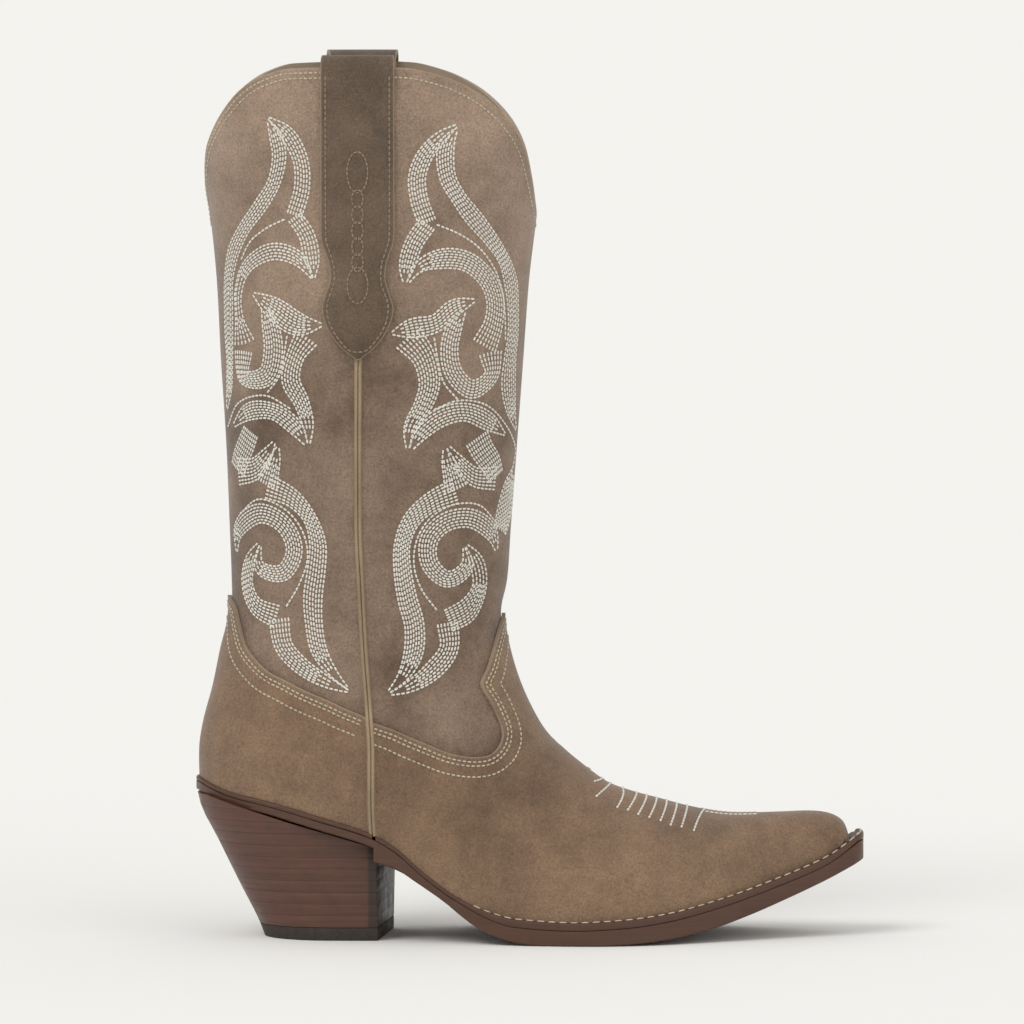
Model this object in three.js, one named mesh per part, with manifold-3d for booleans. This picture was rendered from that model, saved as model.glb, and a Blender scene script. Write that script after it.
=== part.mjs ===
// Pull-on cowboy boot for a right foot, standing on its heel cap and the ball of its sole.
// Millimetres. +X points to the toe, +Y to the inner (medial) side of the foot, +Z up.
import * as THREE from 'three';
import { LoftGeometry } from 'three/addons/geometries/LoftGeometry.js';
import { mergeGeometries, mergeVertices } from 'three/addons/utils/BufferGeometryUtils.js';
import Module from 'manifold-3d';

const wasm = await Module();
wasm.setup();

// ---------------------------------------------------------------- driving dimensions

const CLEARANCE = 0.3; // gap kept between pieces that touch
const HALF_TURN = Math.PI;
const QUARTER_TURN = Math.PI / 2;

// Cross-sections of the lasted boot, from above the mouth down the shaft, round the heel and out
// to the toe. Each is an oval between a back point and a front point in the side view (X, Z), with
// its half-widths on the outer and the inner side, how far it swings inward, and its fullness.
// Under the foot the back points lie below the sole, so only the upper part of the oval is used.
const SECTIONS = [
  { back: [-139, 382], front: [7, 382], outer: 50, inner: 50, swing: 0, full: 1 },
  { back: [-138, 345], front: [6, 345], outer: 49.3, inner: 49.3, swing: 0, full: 1 },
  { back: [-136.4, 318], front: [4.4, 318], outer: 48.5, inner: 48.5, swing: 0, full: 1 },
  { back: [-133.8, 302], front: [2.9, 302], outer: 47.6, inner: 47.6, swing: 0, full: 1 },
  { back: [-131.2, 276], front: [-0.2, 276], outer: 46.3, inner: 46.3, swing: 0, full: 1 },
  { back: [-129.5, 242], front: [-2.7, 242], outer: 44.5, inner: 44.5, swing: 0, full: 1 },
  { back: [-127.4, 208], front: [-5.2, 208], outer: 42, inner: 42, swing: 0, full: 1 },
  { back: [-126, 173], front: [-7.8, 173], outer: 38.8, inner: 38.8, swing: 0, full: 1 },
  { back: [-125.2, 150], front: [-9.3, 151], outer: 36.5, inner: 36.5, swing: 0, full: 1 },
  { back: [-125.2, 134], front: [-12, 137], outer: 35, inner: 35, swing: 0, full: 1 },
  { back: [-128.4, 120], front: [-10.5, 123.5], outer: 34, inner: 34, swing: 0, full: 1 },
  { back: [-131.5, 105], front: [-6, 107.5], outer: 33.5, inner: 33.5, swing: 0, full: 1 },
  { back: [-135.5, 90], front: [0, 94], outer: 33.5, inner: 33.5, swing: 0, full: 1 },
  { back: [-137.2, 77], front: [6.2, 83.6], outer: 34, inner: 34, swing: 0, full: 1 },
  { back: [-136, 58], front: [12, 78.5], outer: 34.5, inner: 34.5, swing: 0, full: 1 },
  { back: [-131, 42], front: [16, 75], outer: 34.5, inner: 34.5, swing: -0.5, full: 1 },
  { back: [-120, 24], front: [20, 71.8], outer: 34.5, inner: 34, swing: -1, full: 1 },
  { back: [-98, -3], front: [26, 67.2], outer: 34, inner: 32.5, swing: -1.5, full: 1 },
  { back: [-75, -27], front: [33, 62.6], outer: 35, inner: 33, swing: -1.5, full: 1 },
  { back: [-45, -42], front: [43, 59], outer: 38.5, inner: 36, swing: -1, full: 1 },
  { back: [-8, -46], front: [55, 55.7], outer: 42, inner: 39.5, swing: 0, full: 0.98 },
  { back: [28, -44], front: [67, 52.4], outer: 40, inner: 37.5, swing: 1.5, full: 0.95 },
  { back: [62, -31], front: [83, 49.5], outer: 31.5, inner: 30.5, swing: 3.5, full: 0.9 },
  { back: [90, -8], front: [102, 49.5], outer: 22, inner: 21.5, swing: 5, full: 0.85 },
  { back: [110, 11], front: [117, 50], outer: 15.5, inner: 15.5, swing: 6, full: 0.8 },
  { back: [121.5, 21], front: [125, 49.2], outer: 12.5, inner: 12.5, swing: 6.5, full: 0.8 },
  { back: [128, 31], front: [129.8, 47], outer: 11, inner: 11, swing: 6.5, full: 0.8 },
  { back: [130.8, 35], front: [131.7, 44], outer: 10, inner: 10, swing: 6.5, full: 0.8 },
  { back: [132.3, 37.8], front: [132.8, 39.8], outer: 9, inner: 9, swing: 6.5, full: 0.8 },
];

// Height of the mouth of the shaft by the angle in degrees from the side of the tube.
const TOPLINE_FRONT = [
  [0, 366.5], [12, 366], [24, 362.8], [36, 357], [46, 350], [56, 341], [64, 331.5], [72, 318.5],
  [80, 308], [90, 302],
];
const TOPLINE_BACK = [
  [0, 366.5], [28, 365.6], [38, 362.6], [48, 357], [58, 348.5], [68, 339], [77, 330], [84, 318],
  [90, 302],
];

// Lines in the side view (X, Z).
const FEATHER = [ // where the upper meets the top of the welt
  [-139, 67.5], [-127, 62.8], [-107, 58.5], [-88, 53.2], [-66, 46.4], [-56, 40.6], [-44, 30],
  [-30, 20], [-18, 14.2], [-5, 11], [18, 9.8], [40, 10.8], [58, 13], [80, 18], [103, 25.3],
  [125, 34], [139, 43.5],
];
const TREAD = [ // underside of the outsole, from the heel breast to the toe
  [-66, 34.6], [-55, 31], [-46, 25.1], [-36, 18.2], [-26, 10], [-18, 5], [-11, 2.5], [-3, 0.6],
  [6, 0], [30, 0], [42, 0.5], [58, 2.1], [75, 5.4], [91.5, 10.5], [108, 16.9], [125, 24.3],
  [142, 33],
];
const SIDE_SEAM = [ // from the mouth down to the welt
  [-71, 382], [-71, 300], [-71, 245], [-71.2, 200], [-71.2, 175], [-70.2, 150], [-69, 125],
  [-67, 97], [-66, 80], [-65.9, 60], [-64.8, 40],
];
const VAMP_EDGE = [ // top edge of the vamp, from the side seam round the dip to the tongue tip
  [-66.9, 92.7], [-57.6, 89.9], [-49.7, 86.3], [-41.8, 82.9], [-33.9, 79.5], [-25.5, 77.6],
  [-18.9, 77.6], [-15.1, 79.3], [-12.5, 82.8], [-11.7, 87.3], [-13.1, 92.2], [-16.2, 99],
  [-19.7, 104.6], [-21, 107.9], [-18.1, 114.3], [-16.2, 120.8], [-14.6, 126.4], [-13, 132],
];
const TONGUE_TIP_HEIGHT = 136;
const COUNTER_EDGE = [ // top edge of the counter cover, from near the back peak to the side seam
  [-124.4, 142], [-122.1, 138.5], [-120.6, 132], [-118.2, 123.9], [-114.3, 118.4],
  [-108.7, 113.3], [-101.5, 109.8], [-93.5, 105.8], [-83, 101.4], [-75.1, 97.7], [-66.9, 94.8],
];
const COUNTER_PEAK_HEIGHT = 143.5;
const FRONT_UNDERLAP = [ // lower edge of the front panel, hidden under the vamp
  [-65.9, 79], [-50, 73], [-35, 67.5], [-20, 65], [-8, 68], [-1, 76],
];
const FRONT_UNDERLAP_MIDDLE = 92;
const BACK_UNDERLAP = [ // lower edge of the back panel, hidden under the counter cover
  [-133, 125], [-126, 118], [-118, 110], [-106, 102], [-92, 94.5], [-79, 88], [-65.9, 83],
];
const BACK_UNDERLAP_MIDDLE = 128;

// Layers of leather, as distances from the face of the shaft panels along the surface normal.
const COVER_OUT = 1.9;
const COVER_IN = 0.5;
const PANEL_OUT = 0;
const PANEL_IN = -1.6;
const PUFF_OUT = -0.4;
const PUFF_IN = -1;
const LINING_OUT = PANEL_IN - CLEARANCE;
const LINING_IN = LINING_OUT - 1.2;
const VAMP_LINING_OUT = -2.9;
const VAMP_LINING_IN = -3.9;
const SEAM_HALF_GAP = 1.8;
const PIPING_HALF_WIDTH = 1.5;
const PIPING_RISE = [ // height, distance of the bead's crown from the panel face
  [40, 3], [92, 3], [98, 1.2], [241, 1.2], [244, 0], [370, 0],
];
const SEAM_FOOT_X = -64.8;
const TURN_WEIGHT = 55; // millimetres that a radian of turn counts for when the vamp is divided
const COVER_LIFT = 1.6; // height of the lower edge of the upper above the welt
const LINING_LIFT = 4;
const PUFF_RISE = 4.5;

// Bottom of the boot.
const WELT_OVERHANG = 5.2; // beyond the face of the panels, 3.3 beyond the vamp
const WAIST_OVERHANG = 3;
const HEEL_OVERHANG = 3.4;
const WELT_THICKNESS = 3.4;
const WAIST_WELT_THICKNESS = 2.2;
const WELT_INNER = 7;
const TOE_EXTRA = 3; // the welt reaches further past the toe than past the sides
const SEAT_SOLE_THICKNESS = 3.5;
const INSOLE_THICKNESS = 2.6;
const SOCK_THICKNESS = 1;
const BREAST_X = -60.4;
const BREAST_SKEW = 0.12; // the breast faces a little to the outer side
const WAIST_START = -30;
const WELT_FULL = -8;

// Heel block: its back edge and half-width by height, stacked lifts and a rubber cap.
const HEEL_PROFILE = [ // height, back X, half-width
  [0, -111.5, 24.5], [5.6, -113.6, 25], [21, -121.4, 27.2], [41, -131.2, 30], [56.4, -138.7, 32.5],
  [70, -141.2, 33.5],
];
const CAP_THICKNESS = 5.6;
const LIFT_PITCH = 5;
const LIFT_COUNT = 11;
const HEEL_NAILS = [[-120, 0], [-104, -15], [-104, 15], [-78, -16], [-78, 16]];
const HEEL_SCREW = { x: -97, y: 0 };
const SHANK_PEGS = [[-50, -15], [-50, 14], [-38, -15], [-38, 14], [-26, -16], [-26, 14]];
const SHANK = [-88, -6, 6.5]; // back end, front end, half-width
const INSOLE_MARGIN = 5.4;
const SOCK_MARGIN = 6.8;
const BAND_STEP = 8;
const PIN_SINK = 1; // nail and screw heads sit below the top of the insole
const NAIL_SIZE = { radius: 1.2, head: 2.3, length: 27 };
const SCREW_SIZE = { radius: 2, head: 4, length: 34 };
const PEG_RADIUS = 1.1;
const PEG_REACH = 1.6; // pegs end this far up in the insole board
const PEG_END_GAP = 0.1;
const PEG_HOLE_EXTRA = 3;
const SHANK_DROP = 0.4;
const SHANK_THICKNESS = 1.4;
const FILLER_RISE = 0.1;
const FILLER_BACK = 4;
const FILLER_FRONT = 114;
const TOE_BLUNTING = 0.4;
const PIPING_SHOULDER = 0.7;
const HEEL_ROUND = 1.25; // length of the rounded back of the heel over its half-width
const HEEL_FULLNESS = 0.9;
const HEEL_SPARE = 15; // the heel block runs on ahead of the breast before it is cut

const SOLE_BACK = -146; // ends of the side-view bands that cut the sole pieces
const SOLE_FRONT = 144;
const SEAT_FRONT = -50;
const PRISM_LOW = -5; // heights of the plan prisms that cut the sole pieces
const PRISM_HIGH = 90;
const TRIM_REACH = 160;
const TRIM_DEPTH = 60;

const PULL_STRAP_X = -71;
const PULL_STRAP_THICKNESS = 1.8;
const PULL_STRAP_OUTLINE = [ // height, half-width: from the pointed tip up to the mouth
  [245, 0.8], [248, 4.6], [251.5, 8.1], [256.5, 11.6], [262, 13.9], [267, 14.5], [272, 13.2],
  [278, 11.4], [284, 11.6], [289, 13], [296, 14.9], [314, 15], [340, 15], [359, 15],
];
const PULL_STRAP_LOOP = [ // distance from the panel face, height: over the mouth and down inside
  [1.3, 365], [0.6, 369], [-2.2, 370.4], [-6.4, 368.6], [-10.6, 363], [-13.8, 350], [-14.4, 334],
  [-11.4, 318], [-7, 307], [-4.5, 299], [-4.4, 293],
];

// ---------------------------------------------------------------- curves and the lasted surface

// Value of a smooth curve through [x, y] pairs in rising x.
function along(points, x) {
  const last = points.length - 1;
  if (x <= points[0][0]) return points[0][1];
  if (x >= points[last][0]) return points[last][1];
  let i = 0;
  while (points[i + 1][0] < x) i += 1;
  const slope = (a, b) => (points[b][1] - points[a][1]) / (points[b][0] - points[a][0]);
  const here = slope(i, i + 1);
  const before = i > 0 ? slope(i - 1, i) : here;
  const after = i + 1 < last ? slope(i + 1, i + 2) : here;
  const tangentIn = before * here > 0 ? (2 * before * here) / (before + here) : 0;
  const tangentOut = after * here > 0 ? (2 * after * here) / (after + here) : 0;
  const width = points[i + 1][0] - points[i][0];
  const t = (x - points[i][0]) / width;
  const cubic = (a, b, c, d) => a + t * (b + t * (c + t * d));
  const rise = points[i + 1][1] - points[i][1];
  return cubic(
    points[i][1],
    tangentIn * width,
    3 * rise - (2 * tangentIn + tangentOut) * width,
    (tangentIn + tangentOut) * width - 2 * rise,
  );
}

function catmull(a, b, c, d, t) {
  const t2 = t * t;
  const t3 = t2 * t;
  return 0.5 * (2 * b + (c - a) * t + (2 * a - 5 * b + 4 * c - d) * t2 + (3 * b - a - 3 * c + d) * t3);
}

// The section at a fractional position down the list.
function sectionAt(place) {
  const last = SECTIONS.length - 1;
  const clamped = Math.min(Math.max(place, 0), last);
  const i = Math.min(Math.floor(clamped), last - 1);
  const pick = (k) => SECTIONS[Math.min(Math.max(k, 0), last)];
  const set = [pick(i - 1), pick(i), pick(i + 1), pick(i + 2)];
  const blend = (read) => catmull(...set.map(read), clamped - i);
  return {
    back: [blend((s) => s.back[0]), blend((s) => s.back[1])],
    front: [blend((s) => s.front[0]), blend((s) => s.front[1])],
    outer: blend((s) => s.outer),
    inner: blend((s) => s.inner),
    swing: blend((s) => s.swing),
    full: blend((s) => s.full),
  };
}

// Point of the panel face: angle 0 is the middle of the back, a half turn the middle of the
// front, the outer side lies between them and the inner side beyond them.
function facePoint(place, angle) {
  const s = sectionAt(place);
  const along01 = (1 - Math.cos(angle)) / 2;
  const sine = Math.sin(angle);
  const bulge = Math.abs(sine) ** s.full;
  const y = sine >= 0 ? s.swing - s.outer * bulge : s.swing + s.inner * bulge;
  return new THREE.Vector3(
    s.back[0] + (s.front[0] - s.back[0]) * along01,
    y,
    s.back[1] + (s.front[1] - s.back[1]) * along01,
  );
}

// Same point moved outward along the surface normal.
function skinPoint(place, angle, offset) {
  const step = 0.02;
  const last = SECTIONS.length - 1;
  const low = Math.max(place - step, 0);
  const high = Math.min(place + step, last);
  const down = facePoint(high, angle).sub(facePoint(low, angle));
  const round = facePoint(place, angle + step).sub(facePoint(place, angle - step));
  const normal = down.cross(round).normalize();
  return facePoint(place, angle).addScaledVector(normal, offset);
}

// Place and angle of the outer-side point that stands at (x, z) in the side view.
function locate(x, z) {
  let low = 0;
  let high = SECTIONS.length - 1;
  for (let k = 0; k < 40; k += 1) {
    const middle = (low + high) / 2;
    const s = sectionAt(middle);
    const side = (s.front[0] - s.back[0]) * (z - s.back[1]) - (s.front[1] - s.back[1]) * (x - s.back[0]);
    if (side < 0) low = middle;
    else high = middle;
  }
  const s = sectionAt(low);
  const dx = s.front[0] - s.back[0];
  const dz = s.front[1] - s.back[1];
  const reach = ((x - s.back[0]) * dx + (z - s.back[1]) * dz) / (dx * dx + dz * dz);
  const cosine = Math.min(Math.max(1 - 2 * reach, -1), 1);
  return [low, Math.acos(cosine)];
}

// Place on the middle of the back (angle 0) or front (half turn) at a height.
function placeAtHeight(angle, z) {
  let low = 0;
  let high = SECTIONS.length - 1;
  for (let k = 0; k < 40; k += 1) {
    const middle = (low + high) / 2;
    if (facePoint(middle, angle).z > z) low = middle;
    else high = middle;
  }
  return low;
}

// ---------------------------------------------------------------- leather pieces

// Ways to measure a step of a path of [place, angle] pairs: along the face, or by its turn only.
const faceGap = (a, b) => facePoint(...a).distanceTo(facePoint(...b));
const turnGap = (a, b) => Math.abs(a[1] - b[1]);
const footGap = (a, b) => faceGap(a, b) + TURN_WEIGHT * turnGap(a, b);

// Points at given shares of the length of a path.
function resample(path, shares, gap) {
  const lengths = [0];
  for (let i = 1; i < path.length; i += 1) lengths.push(lengths[i - 1] + gap(path[i], path[i - 1]));
  const total = lengths[lengths.length - 1];
  return shares.map((share) => {
    const target = total * share;
    let i = 0;
    while (i < lengths.length - 2 && lengths[i + 1] < target) i += 1;
    const t = (target - lengths[i]) / (lengths[i + 1] - lengths[i]);
    return [0, 1].map((axis) => path[i][axis] + (path[i + 1][axis] - path[i][axis]) * t);
  });
}

// A side-view line carried onto the face.
function trace(points) {
  const stations = points.map(([x, z]) => new THREE.Vector3(x, 0, z));
  const curve = new THREE.CatmullRomCurve3(stations, false, 'centripetal');
  return curve.getPoints(points.length * 4).map((point) => locate(point.x, point.z));
}

function seamX(z) {
  return along([...SIDE_SEAM].reverse().map(([x, height]) => [height, x]), z);
}

// Seam edge of a panel between two heights, shifted forward or back from the seam line.
function seamSide(topZ, bottomZ, shift) {
  const path = [];
  const steps = 40;
  for (let k = 0; k <= steps; k += 1) {
    const z = topZ + ((bottomZ - topZ) * k) / steps;
    path.push(locate(seamX(z) + shift, z));
  }
  return path;
}

// Straight run along the middle of the back or front between two places.
function middleSide(angle, from, to) {
  const steps = 60;
  return Array.from({ length: steps + 1 }, (_, k) => [from + ((to - from) * k) / steps, angle]);
}

// Grid of [place, angle] between four edges: top and bottom run from left to right.
function patch({ top, bottom, left, right, columns, rows, gap = faceGap, crowd = 1 }) {
  const across = Array.from({ length: columns + 1 }, (_, i) => i / columns);
  const down = Array.from({ length: rows + 1 }, (_, j) => 1 - (1 - j / rows) ** crowd);
  const t = resample(top, across, gap);
  const b = resample(bottom, across, gap);
  const l = resample(left, down, faceGap);
  const r = resample(right, down, faceGap);
  return across.map((u, i) => down.map((v, j) => [0, 1].map((axis) => (
    (1 - v) * t[i][axis] + v * b[i][axis] + (1 - u) * l[j][axis] + u * r[j][axis]
    - (1 - u) * (1 - v) * t[0][axis] - u * (1 - v) * t[columns][axis]
    - (1 - u) * v * b[0][axis] - u * v * b[columns][axis]
  ))));
}

// The outer half of a grid, whose last column lies on the middle line, joined to its mirror half.
function bothSides(half) {
  const mirrored = half.slice(0, -1).reverse();
  return half.concat(mirrored.map((line) => line.map(([place, angle]) => [place, -angle])));
}

function closeUp(geometry) {
  const bare = new THREE.BufferGeometry().copy(geometry);
  bare.deleteAttribute('normal');
  bare.deleteAttribute('uv');
  const merged = mergeVertices(bare, 1e-4);
  const p = merged.attributes.position;
  const index = merged.index.array;
  const a = new THREE.Vector3();
  const b = new THREE.Vector3();
  const c = new THREE.Vector3();
  let volume = 0;
  for (let i = 0; i < index.length; i += 3) {
    a.fromBufferAttribute(p, index[i]);
    b.fromBufferAttribute(p, index[i + 1]);
    c.fromBufferAttribute(p, index[i + 2]);
    volume += a.dot(b.cross(c));
  }
  if (volume < 0) {
    for (let i = 0; i < index.length; i += 3) [index[i], index[i + 1]] = [index[i + 1], index[i]];
  }
  merged.computeVertexNormals();
  return merged;
}

// A sheet of leather over a grid, between two distances from the face.
function sheet(grid, outside, inside) {
  const above = grid.map((line) => line.map(([place, angle]) => skinPoint(place, angle, outside)));
  const below = grid.map((line) => line.map(([place, angle]) => skinPoint(place, angle, inside)));
  return shell(above, below);
}

// Capped loft through closed rings, wound so that its walls and caps both face outward.
function capped(rings) {
  const centre = rings[0][0].clone().add(rings[rings.length - 1][0]).multiplyScalar(0.5);
  let spin = 0;
  for (let i = 0; i + 1 < rings.length; i += 1) {
    const count = rings[i].length;
    for (let j = 0; j < count; j += 1) {
      const a = rings[i][j].clone().sub(centre);
      const b = rings[i][(j + 1) % count].clone().sub(centre);
      const d = rings[i + 1][j].clone().sub(centre);
      spin += a.dot(b.cross(d));
    }
  }
  const wound = spin > 0 ? rings : rings.map((ring) => [...ring].reverse());
  return new LoftGeometry(wound, { closed: true, capStart: true, capEnd: true });
}

// Strip or sheet through lines of points, turned over on request.
function surface(lines, turned = false) {
  const geometry = new LoftGeometry(lines, { closed: false });
  if (turned) geometry.index.array.reverse();
  return geometry;
}

// Closed body between two matching grids of points.
function shell(above, below) {
  const last = above.length - 1;
  const edge = (grid, j) => grid.map((line) => line[j]);
  const end = above[0].length - 1;
  return closeUp(mergeGeometries([
    surface(above),
    surface(below, true),
    surface([below[0], above[0]]),
    surface([above[last], below[last]]),
    surface([edge(above, 0), edge(below, 0)]),
    surface([edge(below, end), edge(above, end)]),
  ]));
}

// ---------------------------------------------------------------- solids cut with each other

function toManifold(geometry) {
  const plain = closeUp(geometry);
  return new wasm.Manifold(new wasm.Mesh({
    numProp: 3,
    vertProperties: new Float32Array(plain.attributes.position.array),
    triVerts: new Uint32Array(plain.index.array),
  }));
}

function fromManifold(solid) {
  const mesh = solid.getMesh();
  const geometry = new THREE.BufferGeometry();
  geometry.setAttribute('position', new THREE.BufferAttribute(new Float32Array(mesh.vertProperties), 3));
  geometry.setIndex(new THREE.BufferAttribute(new Uint32Array(mesh.triVerts), 1));
  return closeUp(geometry);
}

// Prism over a plan outline (X, Y) between two heights.
function planPrism(outline, low, high) {
  const shape = new THREE.Shape(outline.map(([x, y]) => new THREE.Vector2(x, y)));
  const prism = new THREE.ExtrudeGeometry(shape, { depth: high - low, bevelEnabled: false });
  prism.translate(0, 0, low);
  return toManifold(prism);
}

// Prism over a side-view outline (X, Z), right across the boot.
function sidePrism(outline) {
  const acrossHalf = 80;
  const shape = new THREE.Shape(outline.map(([x, z]) => new THREE.Vector2(x, z)));
  const prism = new THREE.ExtrudeGeometry(shape, { depth: 2 * acrossHalf, bevelEnabled: false });
  prism.rotateX(QUARTER_TURN);
  prism.translate(0, acrossHalf, 0);
  return toManifold(prism);
}

// Side-view band between two height functions, bent at the same places as every other band.
function band(fromX, toX, topOf, bottomOf) {
  const first = Math.floor(fromX / BAND_STEP) + 1;
  const count = Math.ceil(toX / BAND_STEP) - first;
  const xs = [fromX, ...Array.from({ length: count }, (_, k) => (first + k) * BAND_STEP), toX];
  const lower = xs.map((x) => [x, bottomOf(x)]);
  const upper = [...xs].reverse().map((x) => [x, topOf(x)]);
  return sidePrism(lower.concat(upper));
}

const feather = (x) => along(FEATHER, x);
const tread = (x) => along(TREAD, x);

// A measure that changes from its waist value to its forefoot value.
function fromWaist(x, waist, forefoot) {
  return THREE.MathUtils.lerp(waist, forefoot, THREE.MathUtils.smoothstep(x, WAIST_START, WELT_FULL));
}

const weltThickness = (x) => fromWaist(x, WAIST_WELT_THICKNESS, WELT_THICKNESS);

// Half of the feather line: place and angle of the outer side from the heel to the toe corner.
function featherPath(lift, fromX, toX, count) {
  const path = [];
  for (let k = 0; k <= count; k += 1) {
    const x = fromX + ((toX - fromX) * (1 - Math.cos((HALF_TURN * k) / count))) / 2;
    path.push(locate(x, feather(x) + lift));
  }
  return path;
}

const TOE_CORNER_X = 132.6;
const HEEL_END_X = -137.5;
const LAST_PLACE = SECTIONS.length - 1;

// Feather line of one side in plan, as [x, y] pairs from the heel to the toe corner.
function planEdge(side) {
  const count = 34;
  return featherPath(0, HEEL_END_X, TOE_CORNER_X, count)
    .map(([place, angle]) => facePoint(place, side * angle))
    .map((point) => [point.x, point.y]);
}

const OUTER_EDGE = planEdge(1);
const INNER_EDGE = planEdge(-1);

// Points of an edge moved sideways by an amount that may vary along X.
function shifted(edge, growth, side) {
  return edge.map(([x, y], i) => {
    const [x0, y0] = edge[Math.max(i - 1, 0)];
    const [x1, y1] = edge[Math.min(i + 1, edge.length - 1)];
    const length = Math.hypot(x1 - x0, y1 - y0);
    const amount = side * growth(x);
    return [x + ((y1 - y0) / length) * amount, y - ((x1 - x0) / length) * amount];
  });
}

// Plan outline of the foot at the feather line, grown outward.
function footOutline(growth) {
  const outer = shifted(OUTER_EDGE.slice(1, -1), growth, 1);
  const inner = shifted(INNER_EDGE.slice(1, -1), growth, -1);
  const heelEnd = [HEEL_END_X - growth(HEEL_END_X), 0];
  const [tipX, tipY] = [TOE_CORNER_X + growth(TOE_CORNER_X) + TOE_EXTRA, SECTIONS[LAST_PLACE].swing];
  const corner = SECTIONS[LAST_PLACE].outer;
  const toe = [
    [tipX - TOE_BLUNTING, tipY - corner], [tipX, tipY - corner / 2],
    [tipX, tipY + corner / 2], [tipX - TOE_BLUNTING, tipY + corner],
  ];
  return [heelEnd, ...outer, ...toe, ...inner.reverse()];
}

// Plan outline shrunk by a fixed margin, ending square before the heel and the toe.
function shrunkOutline(margin) {
  const narrow = 2;
  const count = 34;
  const lane = (edge, sign) => (x) => {
    const reach = 3;
    const slope = (along(edge, x + reach) - along(edge, x - reach)) / (2 * reach);
    return along(edge, x) + sign * margin * Math.hypot(1, slope);
  };
  const low = lane(OUTER_EDGE, 1);
  const high = lane(INNER_EDGE, -1);
  const [from, to] = [HEEL_END_X + margin, TOE_CORNER_X - margin];
  const eased = (k) => from + ((to - from) * (1 - Math.cos((HALF_TURN * k) / count))) / 2;
  const xs = Array.from({ length: count + 1 }, (_, k) => eased(k))
    .filter((x) => high(x) - low(x) > narrow);
  return xs.map((x) => [x, low(x)]).concat([...xs].reverse().map((x) => [x, high(x)]));
}

function overhang(x) {
  return x < BREAST_X ? HEEL_OVERHANG : fromWaist(x, WAIST_OVERHANG, WELT_OVERHANG);
}

const soleOutline = footOutline(overhang);
const innerOutline = shrunkOutline(WELT_INNER);
const insoleOutline = shrunkOutline(INSOLE_MARGIN);
const soleBlock = planPrism(soleOutline, PRISM_LOW, PRISM_HIGH);
const insideWelt = planPrism(innerOutline, PRISM_LOW, PRISM_HIGH);
const insideLining = planPrism(insoleOutline, PRISM_LOW, PRISM_HIGH);

// Breast plane of the heel, turned a little about the vertical.
function breastCut(shift, forward) {
  const farX = forward ? 200 : -200;
  const edge = (y) => BREAST_X + shift + BREAST_SKEW * y;
  return planPrism([[edge(-80), -80], [farX, -80], [farX, 80], [edge(80), 80]], -20, 120);
}

const aheadOfBreast = breastCut(CLEARANCE / 2, true);
const behindBreast = breastCut(-CLEARANCE / 2, false);

// ---------------------------------------------------------------- materials

const LOOKS = {
  suede: [0x87765f, 0.95, 0],
  seam_leather: [0xaf9b7d, 0.75, 0],
  lining_leather: [0xb9a284, 0.7, 0],
  board: [0x9a7b58, 0.85, 0],
  sole_leather: [0x6e5046, 0.5, 0],
  heel_leather: [0x694b3e, 0.5, 0],
  rubber: [0x322a26, 0.8, 0],
  cork: [0x9c7a50, 0.95, 0],
  steel: [0x9a9a98, 0.35, 1],
  wood: [0xb58f5c, 0.8, 0],
};

const group = new THREE.Group();

function add(name, look, geometry) {
  const [color, roughness, metalness] = LOOKS[look];
  const mesh = new THREE.Mesh(geometry, new THREE.MeshStandardMaterial({ color, roughness, metalness }));
  mesh.name = name;
  group.add(mesh);
}

// ---------------------------------------------------------------- shaft, vamp and counter

// Path along the mouth, from the side seam edge to the middle of the front or back.
function toplinePath(seamEdge, middle) {
  const [, startAngle] = seamEdge;
  const steps = 60;
  const path = [];
  for (let k = 0; k <= steps; k += 1) {
    const angle = startAngle + ((middle - startAngle) * k) / steps;
    const turned = Math.abs(THREE.MathUtils.radToDeg(angle - QUARTER_TURN));
    const onFront = angle > QUARTER_TURN;
    const z = along(onFront ? TOPLINE_FRONT : TOPLINE_BACK, turned);
    path.push([placeAtHeight(angle, z), angle]);
  }
  return path;
}

const MOUTH_SIDE_HEIGHT = 366.3;

// Half grid of a shaft panel, from its seam edge to the middle of the front or back.
function shaftHalf(isFront, lowerEdge, lowerMiddle, columns, rows) {
  const middle = isFront ? HALF_TURN : 0;
  const shift = isFront ? SEAM_HALF_GAP : -SEAM_HALF_GAP;
  const top = toplinePath(locate(SIDE_SEAM[0][0] + shift, MOUTH_SIDE_HEIGHT), middle);
  const ordered = isFront ? lowerEdge : [...lowerEdge].reverse();
  const lowest = placeAtHeight(middle, lowerMiddle);
  const startZ = ordered[0][1];
  const bottom = [locate(seamX(startZ) + shift, startZ)]
    .concat(trace(ordered).slice(3))
    .concat([[lowest, middle]]);
  const left = seamSide(MOUTH_SIDE_HEIGHT, startZ, shift);
  left[0] = top[0];
  left[left.length - 1] = bottom[0];
  const right = middleSide(middle, top[top.length - 1][0], lowest);
  return patch({ top, bottom, left, right, columns, rows, gap: turnGap, crowd: 1.5 });
}

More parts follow.
